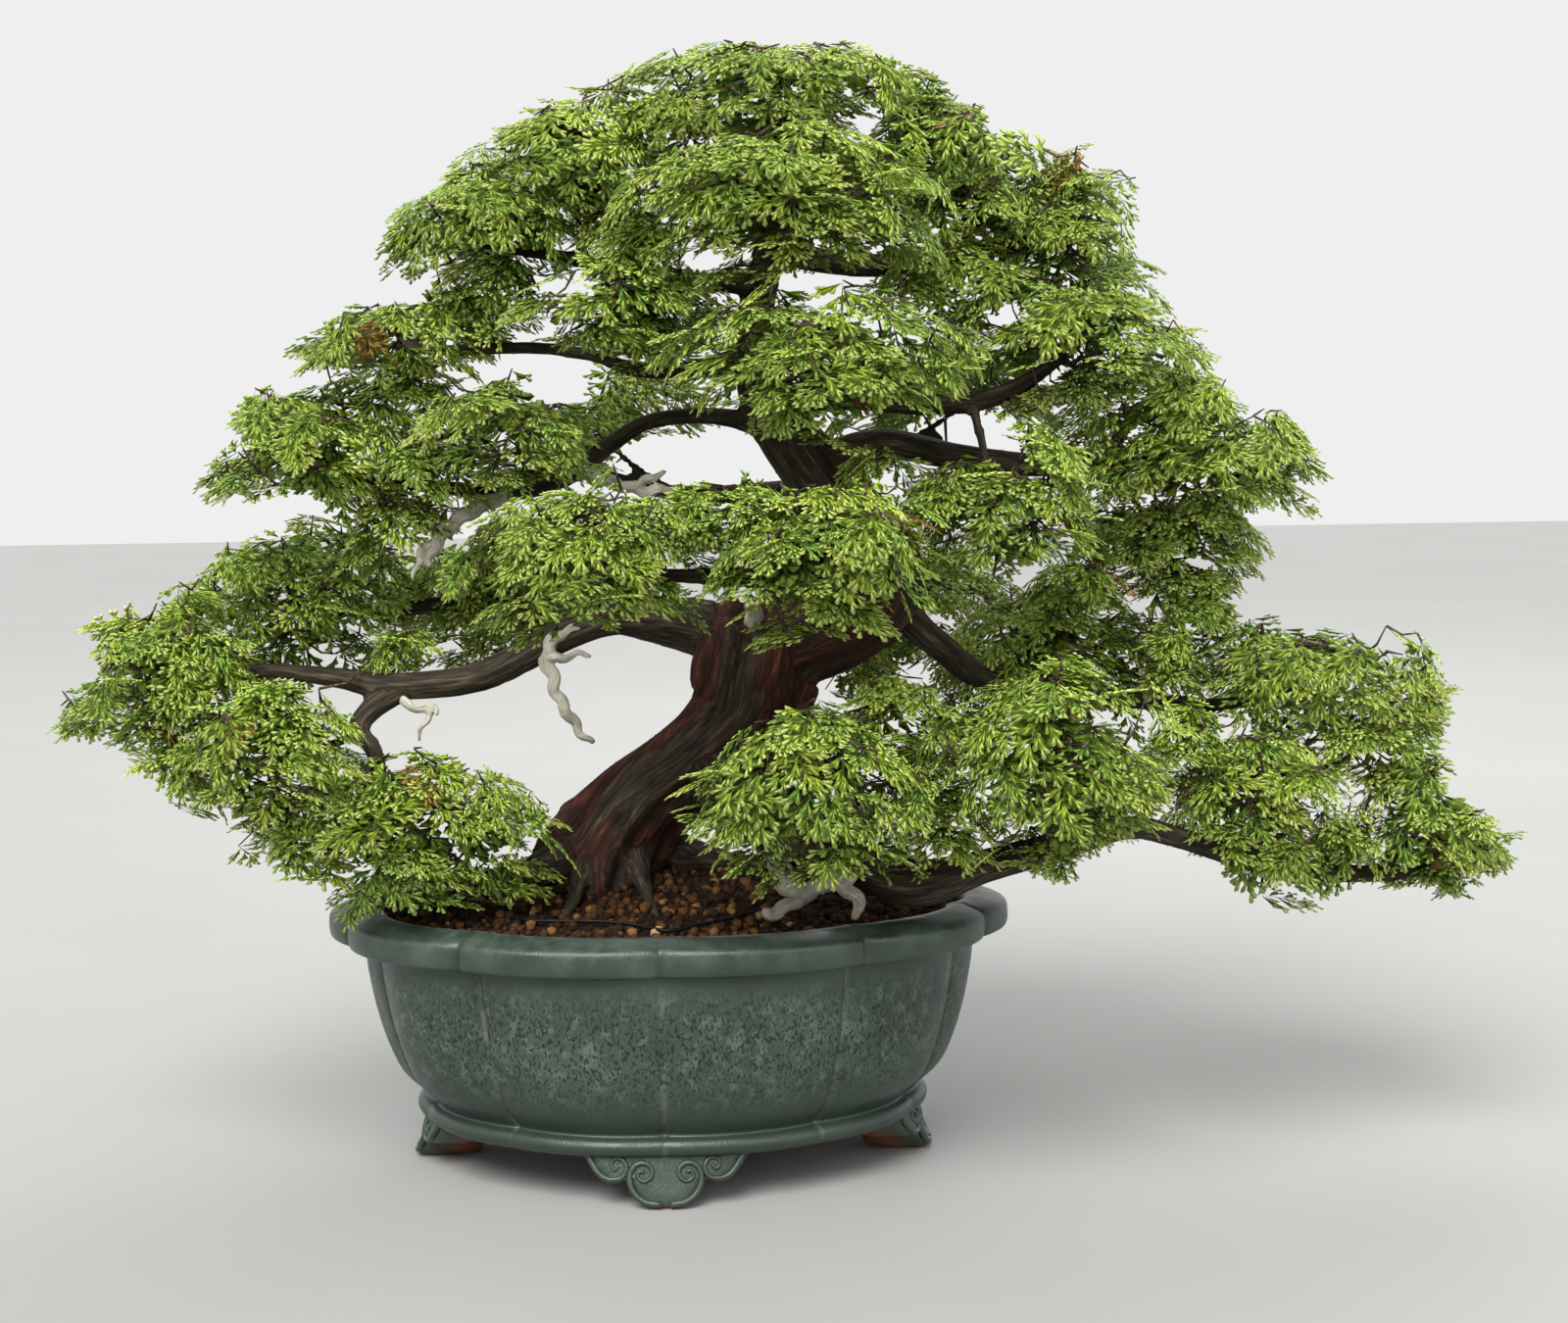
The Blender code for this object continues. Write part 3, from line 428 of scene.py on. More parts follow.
# Volutes on a foot: across, up and radius along each
SCROLLS = (
    ((3, 3.5, 2.2), (13, 5, 2.2), (20, 10.5, 2.2), (22.6, 17, 2.1), (22, 23, 2.0), (18, 27.6, 1.9),
     (12.5, 28, 1.8), (8.6, 24.6, 1.7), (9.2, 19.6, 1.6), (13.6, 17.2, 1.5), (17.4, 19.8, 1.4),
     (16.4, 23.4, 1.3), (13.4, 22.6, 1.2)),
    ((50, 35.5, 1.8), (47, 28, 1.9), (41, 20.4, 2.0), (34, 18, 2.0), (27.4, 19.6, 1.9),
     (24.6, 25, 1.8), (27, 30, 1.7), (32, 30.6, 1.5), (34.6, 27, 1.4), (32, 23.8, 1.3),
     (29.4, 26.4, 1.2)),
)
SCROLL_STEPS = 4
SCROLL_SIDES = 8
SCROLL_SINK = 0.4

# Soil: number, size, shape and tints of its grains, where they lie, how far its top dips, and a
# height above it all
GRAINS = 2600
GRAIN_SIZE = (1.9, 4.6)
SMALL_GRAINS = 1.8
GRAIN_LUMPS = (0.78, 1.15)
GRAIN_STRETCH = (0.75, 1.0)
GRAIN_LIFT = (0.0, 0.5)
GRAIN_TINTS = (1.6, 2.2)
SIZE_TINT = 0.25
SOIL_HALF_WIDTH = 192.0
SOIL_HALF_DEPTH = 125.0
SOIL_LEVEL = 165.0
SOIL_DIP = 8.0
ABOVE_SOIL = 400.0

# Tie wire over the soil, and its twist
WIRE_RADIUS = 1.2
WIRE_SIDES = 10
WIRE_STEPS = 8
WIRE_EVENING = 3
WIRE_ROUTE = (
    (-100, -66), (-86, -76), (-66, -80), (-46, -81), (-24, -87), (-8, -97), (2, -103),
    (12, -99), (28, -86), (50, -68), (64, -56),
)
WIRE_LIFT = 4.0

# Floor and light: how bright the sky is for the bonsai and for the camera, a soft sun, and the
# lamps' places, sizes and powers, in metres and watts
FLOOR_HALF = 6.0
SKY_GREY = (0.98, 0.98, 0.98, 1.0)
SKY_LIGHT = 1.0
SKY_SHOWN = 0.88
SUN_POWER = 4.2
SUN_SPREAD = 38.0
SUN_WAY = (0.28, 0.78, -0.95)
LAMPS = (
    ("fill", (2.0, -2.2, 1.6), 1.6, 16.0),
    ("back", (0.5, 2.0, 2.4), 1.6, 40.0),
)
LAMP_AIM = (0, 0, 0.35)

# Camera: where it stands, how far it looks down and leans, and its lens
CAMERA_PLACE = (79.8, -1811.8, 540.4)
CAMERA_DOWN = 6.62
CAMERA_LEAN = -0.917
CAMERA_LENS = 63.0


def colour(code):
    """A colour as light, from its usual six-figure code."""
    parts = [int(code[index:index + 2], 16) / 255 for index in (0, 2, 4)]
    light = [part / 12.92 if part < 0.04045 else ((part + 0.055) / 1.055) ** 2.4 for part in parts]
    return (*light, 1.0)


def world(points):
    """Millimetres from the ground under the pot, as metres in the frame."""
    return (np.asarray(points, float) + POT_MIDDLE) * MM


def local(points):
    """Metres in the frame, as millimetres from the ground under the pot."""
    return np.asarray(points, float) / MM - POT_MIDDLE


def give_values(mesh, values):
    """Named values for a surface, three at each of the mesh's points."""
    for key, value in values.items():
        layer = mesh.attributes.new(key, "FLOAT_VECTOR", "POINT")
        layer.data.foreach_set("vector", np.asarray(value, np.float32).ravel())


def mesh_of(name, places, faces, surface, values=None):
    """A smooth mesh from places in metres and faces of equally many points."""
    faces = np.asarray(faces, np.int32)
    mesh = bpy.data.meshes.new(name)
    mesh.vertices.add(len(places))
    mesh.vertices.foreach_set("co", np.asarray(places, np.float32).ravel())
    mesh.loops.add(faces.size)
    mesh.loops.foreach_set("vertex_index", faces.ravel())
    mesh.polygons.add(len(faces))
    mesh.polygons.foreach_set("loop_start", np.arange(0, faces.size, faces.shape[1], dtype=np.int32))
    mesh.update(calc_edges=True)
    mesh.polygons.foreach_set("use_smooth", np.full(len(faces), True))
    give_values(mesh, values or {})
    mesh.materials.append(surface)
    return mesh


def show(name, data):
    """A new object in the scene."""
    made = bpy.data.objects.new(name, data)
    bpy.context.scene.collection.objects.link(made)
    return made


def piece(name, mesh, nodes=()):
    """An object of the bonsai, which stands for the nodes it names."""
    made = show(name, mesh)
    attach(made, "root")
    if nodes:
        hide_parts(*nodes)


def join(shapes):
    """One pair of points and faces from several."""
    points, faces, first = [], [], 0
    for shape_points, shape_faces in shapes:
        points.append(shape_points)
        faces.append(np.asarray(shape_faces) + first)
        first += len(shape_points)
    return np.vstack(points), np.vstack(faces)


def smooth_path(points, steps):
    """A curve through the points, with this many steps between neighbours."""
    points = np.array(points, float)
    padded = np.vstack([2 * points[0] - points[1], points, 2 * points[-1] - points[-2]])
    t = np.arange(steps)[:, None] / steps
    found = []
    for before, start, end, after in zip(padded, padded[1:], padded[2:], padded[3:]):
        found.append(0.5 * (
            2 * start + (end - before) * t
            + (2 * before - 5 * start + 4 * end - after) * t ** 2
            + (3 * start - before - 3 * end + after) * t ** 3
        ))
    return np.vstack([*found, points[-1]])


def frames_along(path):
    """The ways along, aside and across at each point of a path, with no twist."""
    ways = np.gradient(path[:, :3], axis=0)
    ways /= np.linalg.norm(ways, axis=1)[:, None]
    start = (0.0, 1.0, 0.0) if abs(ways[0][1]) < 0.9 else (1.0, 0.0, 0.0)
    aside = np.cross(ways[0], start)
    asides = []
    for way in ways:
        aside = aside - way * np.dot(aside, way)
        aside = aside / np.linalg.norm(aside)
        asides.append(aside)
    asides = np.array(asides)
    return ways, asides, np.cross(ways, asides)


def lengths_along(path):
    """How far along a path each of its points lies."""
    steps = np.linalg.norm(np.diff(path[:, :3], axis=0), axis=1)
    return np.concatenate([[0.0], np.cumsum(steps)])


def ring_triangles(rings, sides):
    """Triangles between neighbouring rings, and between each end ring and a point after them."""
    ring, side = np.meshgrid(np.arange(rings - 1), np.arange(sides), indexing="ij")
    a = (ring * sides + side).ravel()
    b = (ring * sides + (side + 1) % sides).ravel()
    walls = [np.stack([a, b, b + sides], 1), np.stack([a, b + sides, a + sides], 1)]
    around = np.arange(sides)
    after = (around + 1) % sides
    last = (rings - 1) * sides
    start, end = np.full(sides, rings * sides), np.full(sides, rings * sides + 1)
    caps = [np.stack([after, around, start], 1), np.stack([last + around, last + after, end], 1)]
    return np.vstack(walls + caps)


def tube(path, sides, ridges=()):
    """A stem along a path of x, y, z and radius, with ridges of a count, a twist and a height."""
    path = np.asarray(path, float)
    _, asides, acrosses = frames_along(path)
    turns = math.tau * np.arange(sides) / sides
    share = np.linspace(0, 1, len(path))[:, None]
    swell = np.ones((len(path), sides))
    for count, twist, height in ridges:
        swell += height * np.cos(count * turns + twist * share)
    round_it = np.cos(turns)[:, None] * asides[:, None] + np.sin(turns)[:, None] * acrosses[:, None]
    rings = path[:, None, :3] + (path[:, 3, None] * swell)[..., None] * round_it
    points = np.vstack([rings.reshape(-1, 3), path[0, :3], path[-1, :3]])
    return points, ring_triangles(len(path), sides)


def vectors_of(items, key):
    """The vectors that a mesh holds for its points."""
    found = np.empty(len(items) * 3, np.float32)
    items.foreach_get(key, found)
    return found.reshape(-1, 3).astype(float)


def noise_at(points, octaves=3):
    """Smooth noise from about -1 to 1 at each point."""
    return np.array([noise.fractal(Vector(point), 1.0, 2.0, octaves) for point in points])


class Surface:
    """A material that is put together node by node."""

    def __init__(self, name, roughness, specular=0.4):
        self.made = bpy.data.materials.new(name)
        self.made.use_nodes = True
        self.tree = self.made.node_tree
        self.shader = self.tree.nodes["Principled BSDF"]
        self.feed(self.shader, {"Roughness": roughness, "Specular IOR Level": specular})

    def feed(self, node, inputs):
        """Gives each input a value, a colour from its code, or a link from another socket."""
        for key, value in inputs.items():
            if isinstance(value, bpy.types.NodeSocket):
                self.tree.links.new(value, node.inputs[key])
            else:
                node.inputs[key].default_value = colour(value) if isinstance(value, str) else value

    def add(self, kind, inputs=None, **settings):
        made = self.tree.nodes.new(kind)
        for key, value in settings.items():
            setattr(made, key, value)
        self.feed(made, inputs or {})
        return made

    def value(self, name):
        """A named value of the mesh, as one socket and as three."""
        whole = self.add("ShaderNodeAttribute", attribute_name=name).outputs["Vector"]
        return whole, self.add("ShaderNodeSeparateXYZ", {0: whole}).outputs

    def place(self, scale=(1, 1, 1)):
        """Where the surface lies, stretched."""
        source = self.add("ShaderNodeTexCoord").outputs["Object"]
        return self.add("ShaderNodeMapping", {"Vector": source, "Scale": scale}).outputs["Vector"]

    def noise(self, place, scale, detail=4.0, roughness=0.55, distortion=0.0):
        return self.add("ShaderNodeTexNoise", {
            "Vector": place, "Scale": scale, "Detail": detail, "Roughness": roughness,
            "Distortion": distortion,
        }).outputs["Fac"]

    def ramp(self, source, stops):
        """Colours or greys along a value: pairs of a place and a colour code or a number."""
        made = self.add("ShaderNodeValToRGB", {"Fac": source})
        line = made.color_ramp
        while len(line.elements) < len(stops):
            line.elements.new(0.5)
        for element, (place, shade) in zip(line.elements, stops):
            element.position = place
            element.color = colour(shade) if isinstance(shade, str) else (shade, shade, shade, 1.0)
        return made.outputs["Color"]

    def mix(self, share, first, second, kind="MIX"):
        inputs = {0: share, 6: first, 7: second}
        return self.add("ShaderNodeMix", inputs, data_type="RGBA", blend_type=kind).outputs[2]

    def times(self, first, second):
        """One colour or grey darkened by another."""
        return self.mix(1.0, first, second, "MULTIPLY")

    def maths(self, kind, first, second):
        return self.add("ShaderNodeMath", {0: first, 1: second}, operation=kind).outputs[0]

    def finish(self, shade, height, distance=0.5, strength=0.6):
        """Sets the colour, and the relief in millimetres."""
        bump = self.add("ShaderNodeBump", {
            "Strength": strength, "Distance": distance * MM, "Height": height,
        })
        self.feed(self.shader, {"Base Color": shade, "Normal": bump.outputs["Normal"]})
        return self.made


def bark_surface():
    """Stringy red-brown bark with grey-green weathered strips."""
    bark = Surface("bark", 0.85, 0.25)
    grain, _ = bark.value("grain")
    fine = bark.noise(grain, 0.42, 4, 0.55, 0.3)
    strips = bark.noise(grain, 0.10, 2, 0.5, 0.3)
    broad = bark.noise(grain, 0.035, 2, 0.5, 0.5)
    patch = bark.noise(bark.place(), 13.0, 3)
    _, (girth, _, _) = bark.value("girth")
    red = bark.ramp(fine, ((0.28, "1a0f0a"), (0.46, "321b12"), (0.60, "4a271a"), (0.78, "654231")))
    grey = bark.ramp(fine, ((0.28, "12100b"), (0.48, "2f2b21"), (0.64, "4b4636"), (0.80, "716b56")))
    share = bark.maths("ADD", broad, bark.maths("MULTIPLY", patch, 0.62))
    thin = bark.ramp(girth, ((0.30, 0.40), (0.62, 0.04), (0.76, 0.0)))
    weathered = bark.ramp(bark.maths("ADD", share, thin), ((0.86, 0.0), (1.0, 0.85)))
    shade = bark.mix(weathered, red, grey)
    shade = bark.times(shade, bark.ramp(strips, ((0.34, 0.55), (0.52, 1.0))))
    height = bark.maths("ADD", fine, bark.maths("MULTIPLY", strips, 1.2))
    return bark.finish(shade, height, 1.6, 0.8)


def twig_surface():
    """Grey-brown bark of thin twigs."""
    twig = Surface("twig_bark", 0.8, 0.25)
    fine = twig.noise(twig.place(), 420.0, 3)
    shade = twig.ramp(fine, ((0.35, "241b14"), (0.52, "453528"), (0.70, "75685a")))
    return twig.finish(shade, fine, 0.3)


def bleached_surface():
    """Dead wood, silvered by the weather, with fine cracks along it."""
    bleached = Surface("bleached_wood", 0.8, 0.25)
    grain, _ = bleached.value("grain")
    fine = bleached.noise(grain, 1.1, 4, 0.65, 0.3)
    broad = bleached.noise(bleached.place(), 70.0, 3)
    shade = bleached.ramp(fine, (
        (0.30, "5f594e"), (0.42, "aca698"), (0.60, "cbc6b9"), (0.80, "e0dcd1"),
    ))
    stained = bleached.ramp(broad, ((0.42, 0.55), (0.62, 0.0)))
    shade = bleached.mix(stained, shade, "857d6c")
    return bleached.finish(shade, fine, 0.8, 0.8)


def leaf_surface():
    """Scale leaves: brown stems, dark at the root, yellow-green at the tips, and a little
    different on each spray, a few of which are dying off, with painted shade that darkens
    the lower sprays and the core of each pad."""
    leaf = Surface("leaf", 0.6, 0.2)
    _, (tip, tint, shadow) = leaf.value("leaf")
    young = leaf.ramp(tip, (
        (0.0, "70492f"), (0.05, "6b612e"), (0.12, "6a8a20"), (0.40, "a8c636"), (0.70, "cbe25a"),
        (1.0, "eaf394"),
    ))
    old = leaf.ramp(tip, (
        (0.0, "5a3e2b"), (0.05, "505529"), (0.12, "406c20"), (0.40, "74a43e"), (0.75, "a4c854"),
        (1.0, "c6e07a"),
    ))
    shade = leaf.mix(tint, old, young)
    shade = leaf.mix(leaf.ramp(tint, ((0.01, 0.75), (0.02, 0.0))), shade, "a5622f")
    fine = leaf.noise(leaf.place(), 900.0, 2)
    shade = leaf.times(shade, leaf.ramp(fine, ((0.35, 0.78), (0.65, 1.0))))
    # Painted shade: each spray is darkened by its painted light value
    shade = leaf.times(shade, leaf.ramp(shadow, ((0.0, 0.5), (1.0, 1.0))))
    return leaf.finish(shade, fine, 0.25)


def glaze_surface():
    """Blue-green glaze, speckled on the walls, greyer on the lip and brown where it is bare, with
    painted shade on the low wall and the feet, on the lip and in the creases across the lip.
    """
    glaze = Surface("pot_glaze", 0.42, 0.5)
    _, (crease, level, bare) = glaze.value("wall")
    place = glaze.place()
    broad = glaze.noise(place, 14.0, 4)
    # Base glaze: its own blue-green, darkened further as painted shade from the crown above
    base = glaze.ramp(broad, ((0.30, "243229"), (0.50, "2e3e34"), (0.70, "3b4b41")))
    streaks = glaze.noise(glaze.place((1, 1, 0.6)), 560.0, 2, 0.5, 0.5)
    spots = glaze.noise(place, 130.0, 3)
    wall = glaze.ramp(level, ((0.30, 0.0), (0.42, 0.75), (0.62, 1.0), (0.76, 0.7), (0.84, 0.0)))
    dark = glaze.ramp(streaks, ((0.42, 1.0), (0.47, 0.0)))
    light = glaze.ramp(spots, ((0.50, 0.0), (0.66, 0.5)))
    shade = glaze.mix(glaze.times(light, wall), base, "5c6b62")
    shade = glaze.mix(glaze.times(dark, wall), shade, "0f1612")
    # Painted shade: the low wall and the feet are darkened
    low = glaze.ramp(level, ((0.26, 0.75), (0.46, 0.0)))
    shade = glaze.mix(low, shade, "232e27")
    # The lip: a greyer glaze, its shades also darkened as painted shade from the crown above
    lip = glaze.ramp(level, ((0.85, 0.0), (0.93, 0.5), (1.0, 0.72)))
    mottle = glaze.noise(place, 45.0, 5, 0.65)
    lip_grey_and_shade = glaze.ramp(mottle, ((0.35, "1e2721"), (0.5, "2a352e"), (0.7, "48544c")))
    shade = glaze.mix(lip, shade, lip_grey_and_shade)
    # Painted shade: dark bands down the lip where the creases cross it
    at_lip = glaze.ramp(level, ((0.84, 0.0), (0.88, 1.0)))
    painted_crease_shade = glaze.times(glaze.ramp(crease, ((0.1, 0.0), (0.9, 0.6))), at_lip)
    in_spots = glaze.ramp(mottle, ((0.42, 0.0), (0.60, 1.0)))
    worn = glaze.times(glaze.ramp(crease, ((0.25, 0.0), (0.9, 0.5))), in_spots)
    shade = glaze.mix(worn, shade, "66655a")
    shade = glaze.mix(painted_crease_shade, shade, "1d2520")
    clay = glaze.ramp(mottle, ((0.35, "3f2819"), (0.6, "76492c")))
    shade = glaze.mix(bare, shade, clay)
    height = glaze.maths("ADD", glaze.maths("MULTIPLY", streaks, 0.9), mottle)
    glaze.feed(glaze.shader, {"Roughness": glaze.ramp(mottle, ((0.35, 0.30), (0.7, 0.52)))})
    return glaze.finish(shade, height, 0.5, 0.5)


def grain_surface():
    """Baked-clay grains, each from dark and wet to tan and dry."""
    grain = Surface("soil_grains", 0.9, 0.2)
    _, (tint, _, _) = grain.value("grain")
    fine = grain.noise(grain.place(), 700.0, 4)
    shade = grain.ramp(tint, (
        (0.0, "1a120a"), (0.40, "332110"), (0.70, "543419"), (0.90, "80582e"), (1.0, "b39468"),
    ))
    shade = grain.times(shade, grain.ramp(fine, ((0.3, 0.6), (0.7, 1.0))))
    return grain.finish(shade, fine, 0.5)


def earth_surface():
    """Dark damp soil."""
    earth = Surface("soil_earth", 0.95, 0.15)
    fine = earth.noise(earth.place(), 380.0, 5, 0.7)
    shade = earth.ramp(fine, ((0.3, "0f0905"), (0.55, "24150b"), (0.75, "40260f")))
    return earth.finish(shade, fine, 1.5)


def plain_surface(name, first, second, scale, roughness, metallic=0.0):
    """Floor, wire or screen: two close shades in fine spots."""
    plain = Surface(name, roughness)
    plain.feed(plain.shader, {"Metallic": metallic})
    fine = plain.noise(plain.place(), scale, 3)
    return plain.finish(plain.ramp(fine, ((0.3, first), (0.7, second))), fine, 0.1)


def pad_boxes():
    """The middle and the half size of each pad of foliage."""
    boxes = {}
    for name in PADS:
        low, high = [np.array(corner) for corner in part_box(name)]
        boxes[name] = (local((low + high) / 2), (high - low) / 2 / MM)
    return boxes


def twig_to(target, stems):
    """A twig that leaves the nearest stem and ends at the target."""
    inner = np.vstack([stem[:-LIMB_STEPS] for stem in stems])
    start = inner[np.argmin(np.linalg.norm(inner[:, :3] - target, axis=1))]
    reach = target - start[:3]
    length = np.linalg.norm(reach)
    radius = min(TWIG_SHARE * start[3], TWIG_START + TWIG_GROWTH * length)
    halfway = start[:3] + reach / 2 - (0, 0, TWIG_HANG * length)
    path = [(*start[:3], radius), (*halfway, (radius + TWIG_RADIUS) / 2), (*target, TWIG_RADIUS)]
    return smooth_path(path, LIMB_STEPS)


def stem_paths():
    """The paths of trunk, roots, limbs and the twigs that bear the pads."""
    trunk = smooth_path(TRUNK, TRUNK_STEPS)
    roots = [smooth_path(root, LIMB_STEPS) for root in ROOTS]
    limbs = [smooth_path(limb, LIMB_STEPS) for limb in LIMBS.values()]
    twigs = {name: twig_to(middle, limbs) for name, (middle, _) in pad_boxes().items()}
    return trunk, roots, limbs, twigs


def nearest_frames(points, paths):
    """For each point: its place in the frame of the nearest stem, and that stem's radius."""
    stems = np.vstack(paths)
    frames = [np.vstack(part) for part in zip(*[frames_along(path) for path in paths])]
    along = np.concatenate([lengths_along(path) for path in paths])
    found = np.empty((len(points), 4))
    for first in range(0, len(points), POINTS_AT_ONCE):
        part = points[first:first + POINTS_AT_ONCE]
        apart = np.linalg.norm(part[:, None] - stems[None, :, :3], axis=2) / stems[None, :, 3]
        near = np.argmin(apart, axis=1)
        off = part - stems[near, :3]
        on, aside, across = [np.einsum("ij,ij->i", off, ways[near]) for ways in frames]
        place = np.stack([aside, across, along[near] + on, stems[near, 3]], 1)
        found[first:first + POINTS_AT_ONCE] = place
    return found


def grown_together(name, shapes, paths, cell, surface):
    """One skin over shapes that overlap: the mesh, its points and normals, their places in the
    grain of the paths, and the radii of their stems."""
    points, faces = join(shapes)
    helper = show("helper", mesh_of(name, world(points), faces, surface))
    remesh = helper.modifiers.new("grow", "REMESH")
    remesh.mode = "VOXEL"
    remesh.voxel_size = cell * MM
    soften = helper.modifiers.new("soften", "SMOOTH")
    soften.factor = 0.5
    soften.iterations = 2
    bpy.context.view_layer.update()
    graph = bpy.context.evaluated_depsgraph_get()
    mesh = bpy.data.meshes.new_from_object(helper.evaluated_get(graph))
    bpy.data.objects.remove(helper)
    points = local(vectors_of(mesh.vertices, "co"))
    normals = vectors_of(mesh.vertex_normals, "vector")
    found = nearest_frames(points, paths)
    return mesh, points, normals, found[:, :3] * (1.0, 1.0, ALONG_SQUEEZE), found[:, 3]


def carve(mesh, points, values, surface):
    """Moves the mesh's points, and gives it the named values that its surface asks for."""
    mesh.vertices.foreach_set("co", world(points).astype(np.float32).ravel())
    mesh.update()
    mesh.polygons.foreach_set("use_smooth", np.full(len(mesh.polygons), True))
    give_values(mesh, values)
    mesh.materials.clear()
    mesh.materials.append(surface)


def make_wood(surface):
    """Trunk, roots, limbs and twigs, grown together and then fluted and frayed along the grain.
    Gives back the twigs."""
    trunk, roots, limbs, twigs = stem_paths()
    paths = [trunk, *roots, *limbs, *twigs.values()]
    shapes = [tube(trunk, TRUNK_SIDES, TRUNK_RIDGES)]
    shapes += [tube(path, LIMB_SIDES) for path in paths[1:]]
    mesh, points, normals, grain, radii = grown_together(
        "wood_rough", shapes, paths, WOOD_CELL, surface,
    )
    flutes = noise_at(grain * FLUTE_CLOSENESS, 2)
    fibres = noise_at(grain * FIBRE_CLOSENESS, 2)
    thin, thick = FLUTED_RADII
    fluted = np.clip((radii - thin) / (thick - thin), 0, 1)
    rise = radii * (FLUTE_RISE * flutes * fluted + FIBRE_RISE * fibres)
    points += normals * np.clip(rise, -MOST_RISE, MOST_RISE)[:, None]
    girth = np.clip(radii / TRUNK[0][3], 0, 1)[:, None] * (1.0, 1.0, 1.0)
    carve(mesh, points, {"grain": grain, "girth": girth}, surface)
    piece("living_wood", mesh, ["trunk_and_branches"])
    return twigs


# Corners of a finger's faces, as finger gives its points
FINGER_FACES = np.array(((0, 1, 3), (0, 3, 2), (0, 2, 1), (1, 2, 3)))[:, ::-1]


def finger(start, angle, length, width):
    """The points of a blunt finger of scale leaves, widest near its tip, turned about Z."""
    widest = FINGER_WIDEST * length
    points = np.array((
        (0, 0, 0), (widest, width / 2, -FINGER_THICK), (widest, -width / 2, -FINGER_THICK),
        (length, 0, 0),
    ))
    cos, sin = math.cos(angle), math.sin(angle)
    return points @ np.array(((cos, sin, 0), (-sin, cos, 0), (0, 0, 1))) + start


def youth(span, share):
    """How young each corner of a finger looks, at a share of the way through a span."""
    at = span[0] + (span[1] - span[0]) * share
    found = ROOT_YOUTH + np.array(FINGER_YOUTH) * ALONG_FINGER + at * ALONG_AXIS
    return np.clip(found, LEAST_YOUTH, 1)


def side_axis(draw, start, angle, reach, side, age, blade_width, fingered):
    """A blade, and fingers along it, first on the side away from the one given. Its age is 0 at
    the spray's root and 1 at its top."""
    way = np.array((math.cos(angle), math.sin(angle), 0.0))
    sunk = start - (0, 0, BLADE_SINK)
    blade = finger(sunk, angle, reach, blade_width * reach / SIDE_REACH)
    # The blade lies under the fingers and is darker than they are: painted shade
    grown = [(blade, youth(BLADE_YOUTH_AND_SHADE, age))]
    if not fingered:
        return grown
    count = max(2, round(reach / FINGER_PITCH))
    for index in range(count):
        share = (index + FINGER_FIRST) / count
        side = -side
        turn = angle + side * math.radians(draw.uniform(*FINGER_ANGLES))
        length = FINGER_LENGTH * (FINGER_LONGEST - FINGER_SHRINK * share)
        length *= draw.uniform(*FINGER_LENGTHS)
        at = start + way * reach * share * FINGER_SPAN + (0, 0, draw.uniform(*FINGER_LIFT))
        width = FINGER_WIDTH * draw.uniform(*FINGER_WIDTHS)
        grown.append((finger(at, turn, length, width), youth(FINGERS_YOUTH, share)))
    end = finger(start + way * reach * END_START, angle, FINGER_LENGTH * END_LENGTH, FINGER_WIDTH)
    grown.append((end, youth(FINGERS_YOUTH, 1)))
    return grown


def spray_kind(draw, blade_width, fingered=True):
    """A flat fan: points, faces and how young they look. It lies along X from the origin."""
    stem = finger(np.zeros(3), 0.0, SPRAY_LENGTH * STEM_SHARE, STEM_WIDTH)
    fingers = [(stem, np.array(STEM_YOUTH))]
    for index in range(SIDE_AXES):
        share = (index + SIDE_FIRST) / SIDE_AXES
        side = 1 if index % 2 else -1
        spread = draw.uniform(-SIDE_SPREAD, SIDE_SPREAD)
        angle = side * math.radians(SIDE_ANGLE - SIDE_CLOSING * share + spread)
        reach = SIDE_REACH * (1 - SIDE_SHRINK * share ** SIDE_ROUNDING)
        reach *= draw.uniform(*SIDE_REACHES)
        start = np.array((SPRAY_LENGTH * SIDE_SPAN * share, 0.0, 0.0))
        fingers += side_axis(draw, start, angle, reach, side, share, blade_width, fingered)
    start = np.array((SPRAY_LENGTH * TOP_START, 0.0, 0.0))
    reach = SPRAY_LENGTH * TOP_SHARE
    fingers += side_axis(draw, start, 0.0, reach, 1, 1.0, blade_width, fingered)
    points = np.vstack([points for points, _ in fingers])
    points[:, 2] -= SPRAY_DROOP * (points[:, 0] ** 2 + points[:, 1] ** 2)
    faces = np.vstack([FINGER_FACES + 4 * index for index in range(len(fingers))])
    return points, faces, np.concatenate([young for _, young in fingers])


def unit(vectors):
    return vectors / np.maximum(np.linalg.norm(vectors, axis=-1, keepdims=True), 1e-9)


def in_a_gap(points):
    """Which points lie in a gap, as seen from the front."""
    eye = np.array(CAMERA_PLACE)
    seen = eye + (points - eye) * (-eye[1] / (points[:, 1:2] - eye[1]))
    inside = np.zeros(len(points), bool)
    for across, up, half_width, half_height in GAPS:
        off = ((seen[:, 0] - across) / (half_width + GAP_MARGIN)) ** 2
        off += ((seen[:, 2] - up) / (half_height + GAP_MARGIN)) ** 2
        inside |= off < 1
    return inside


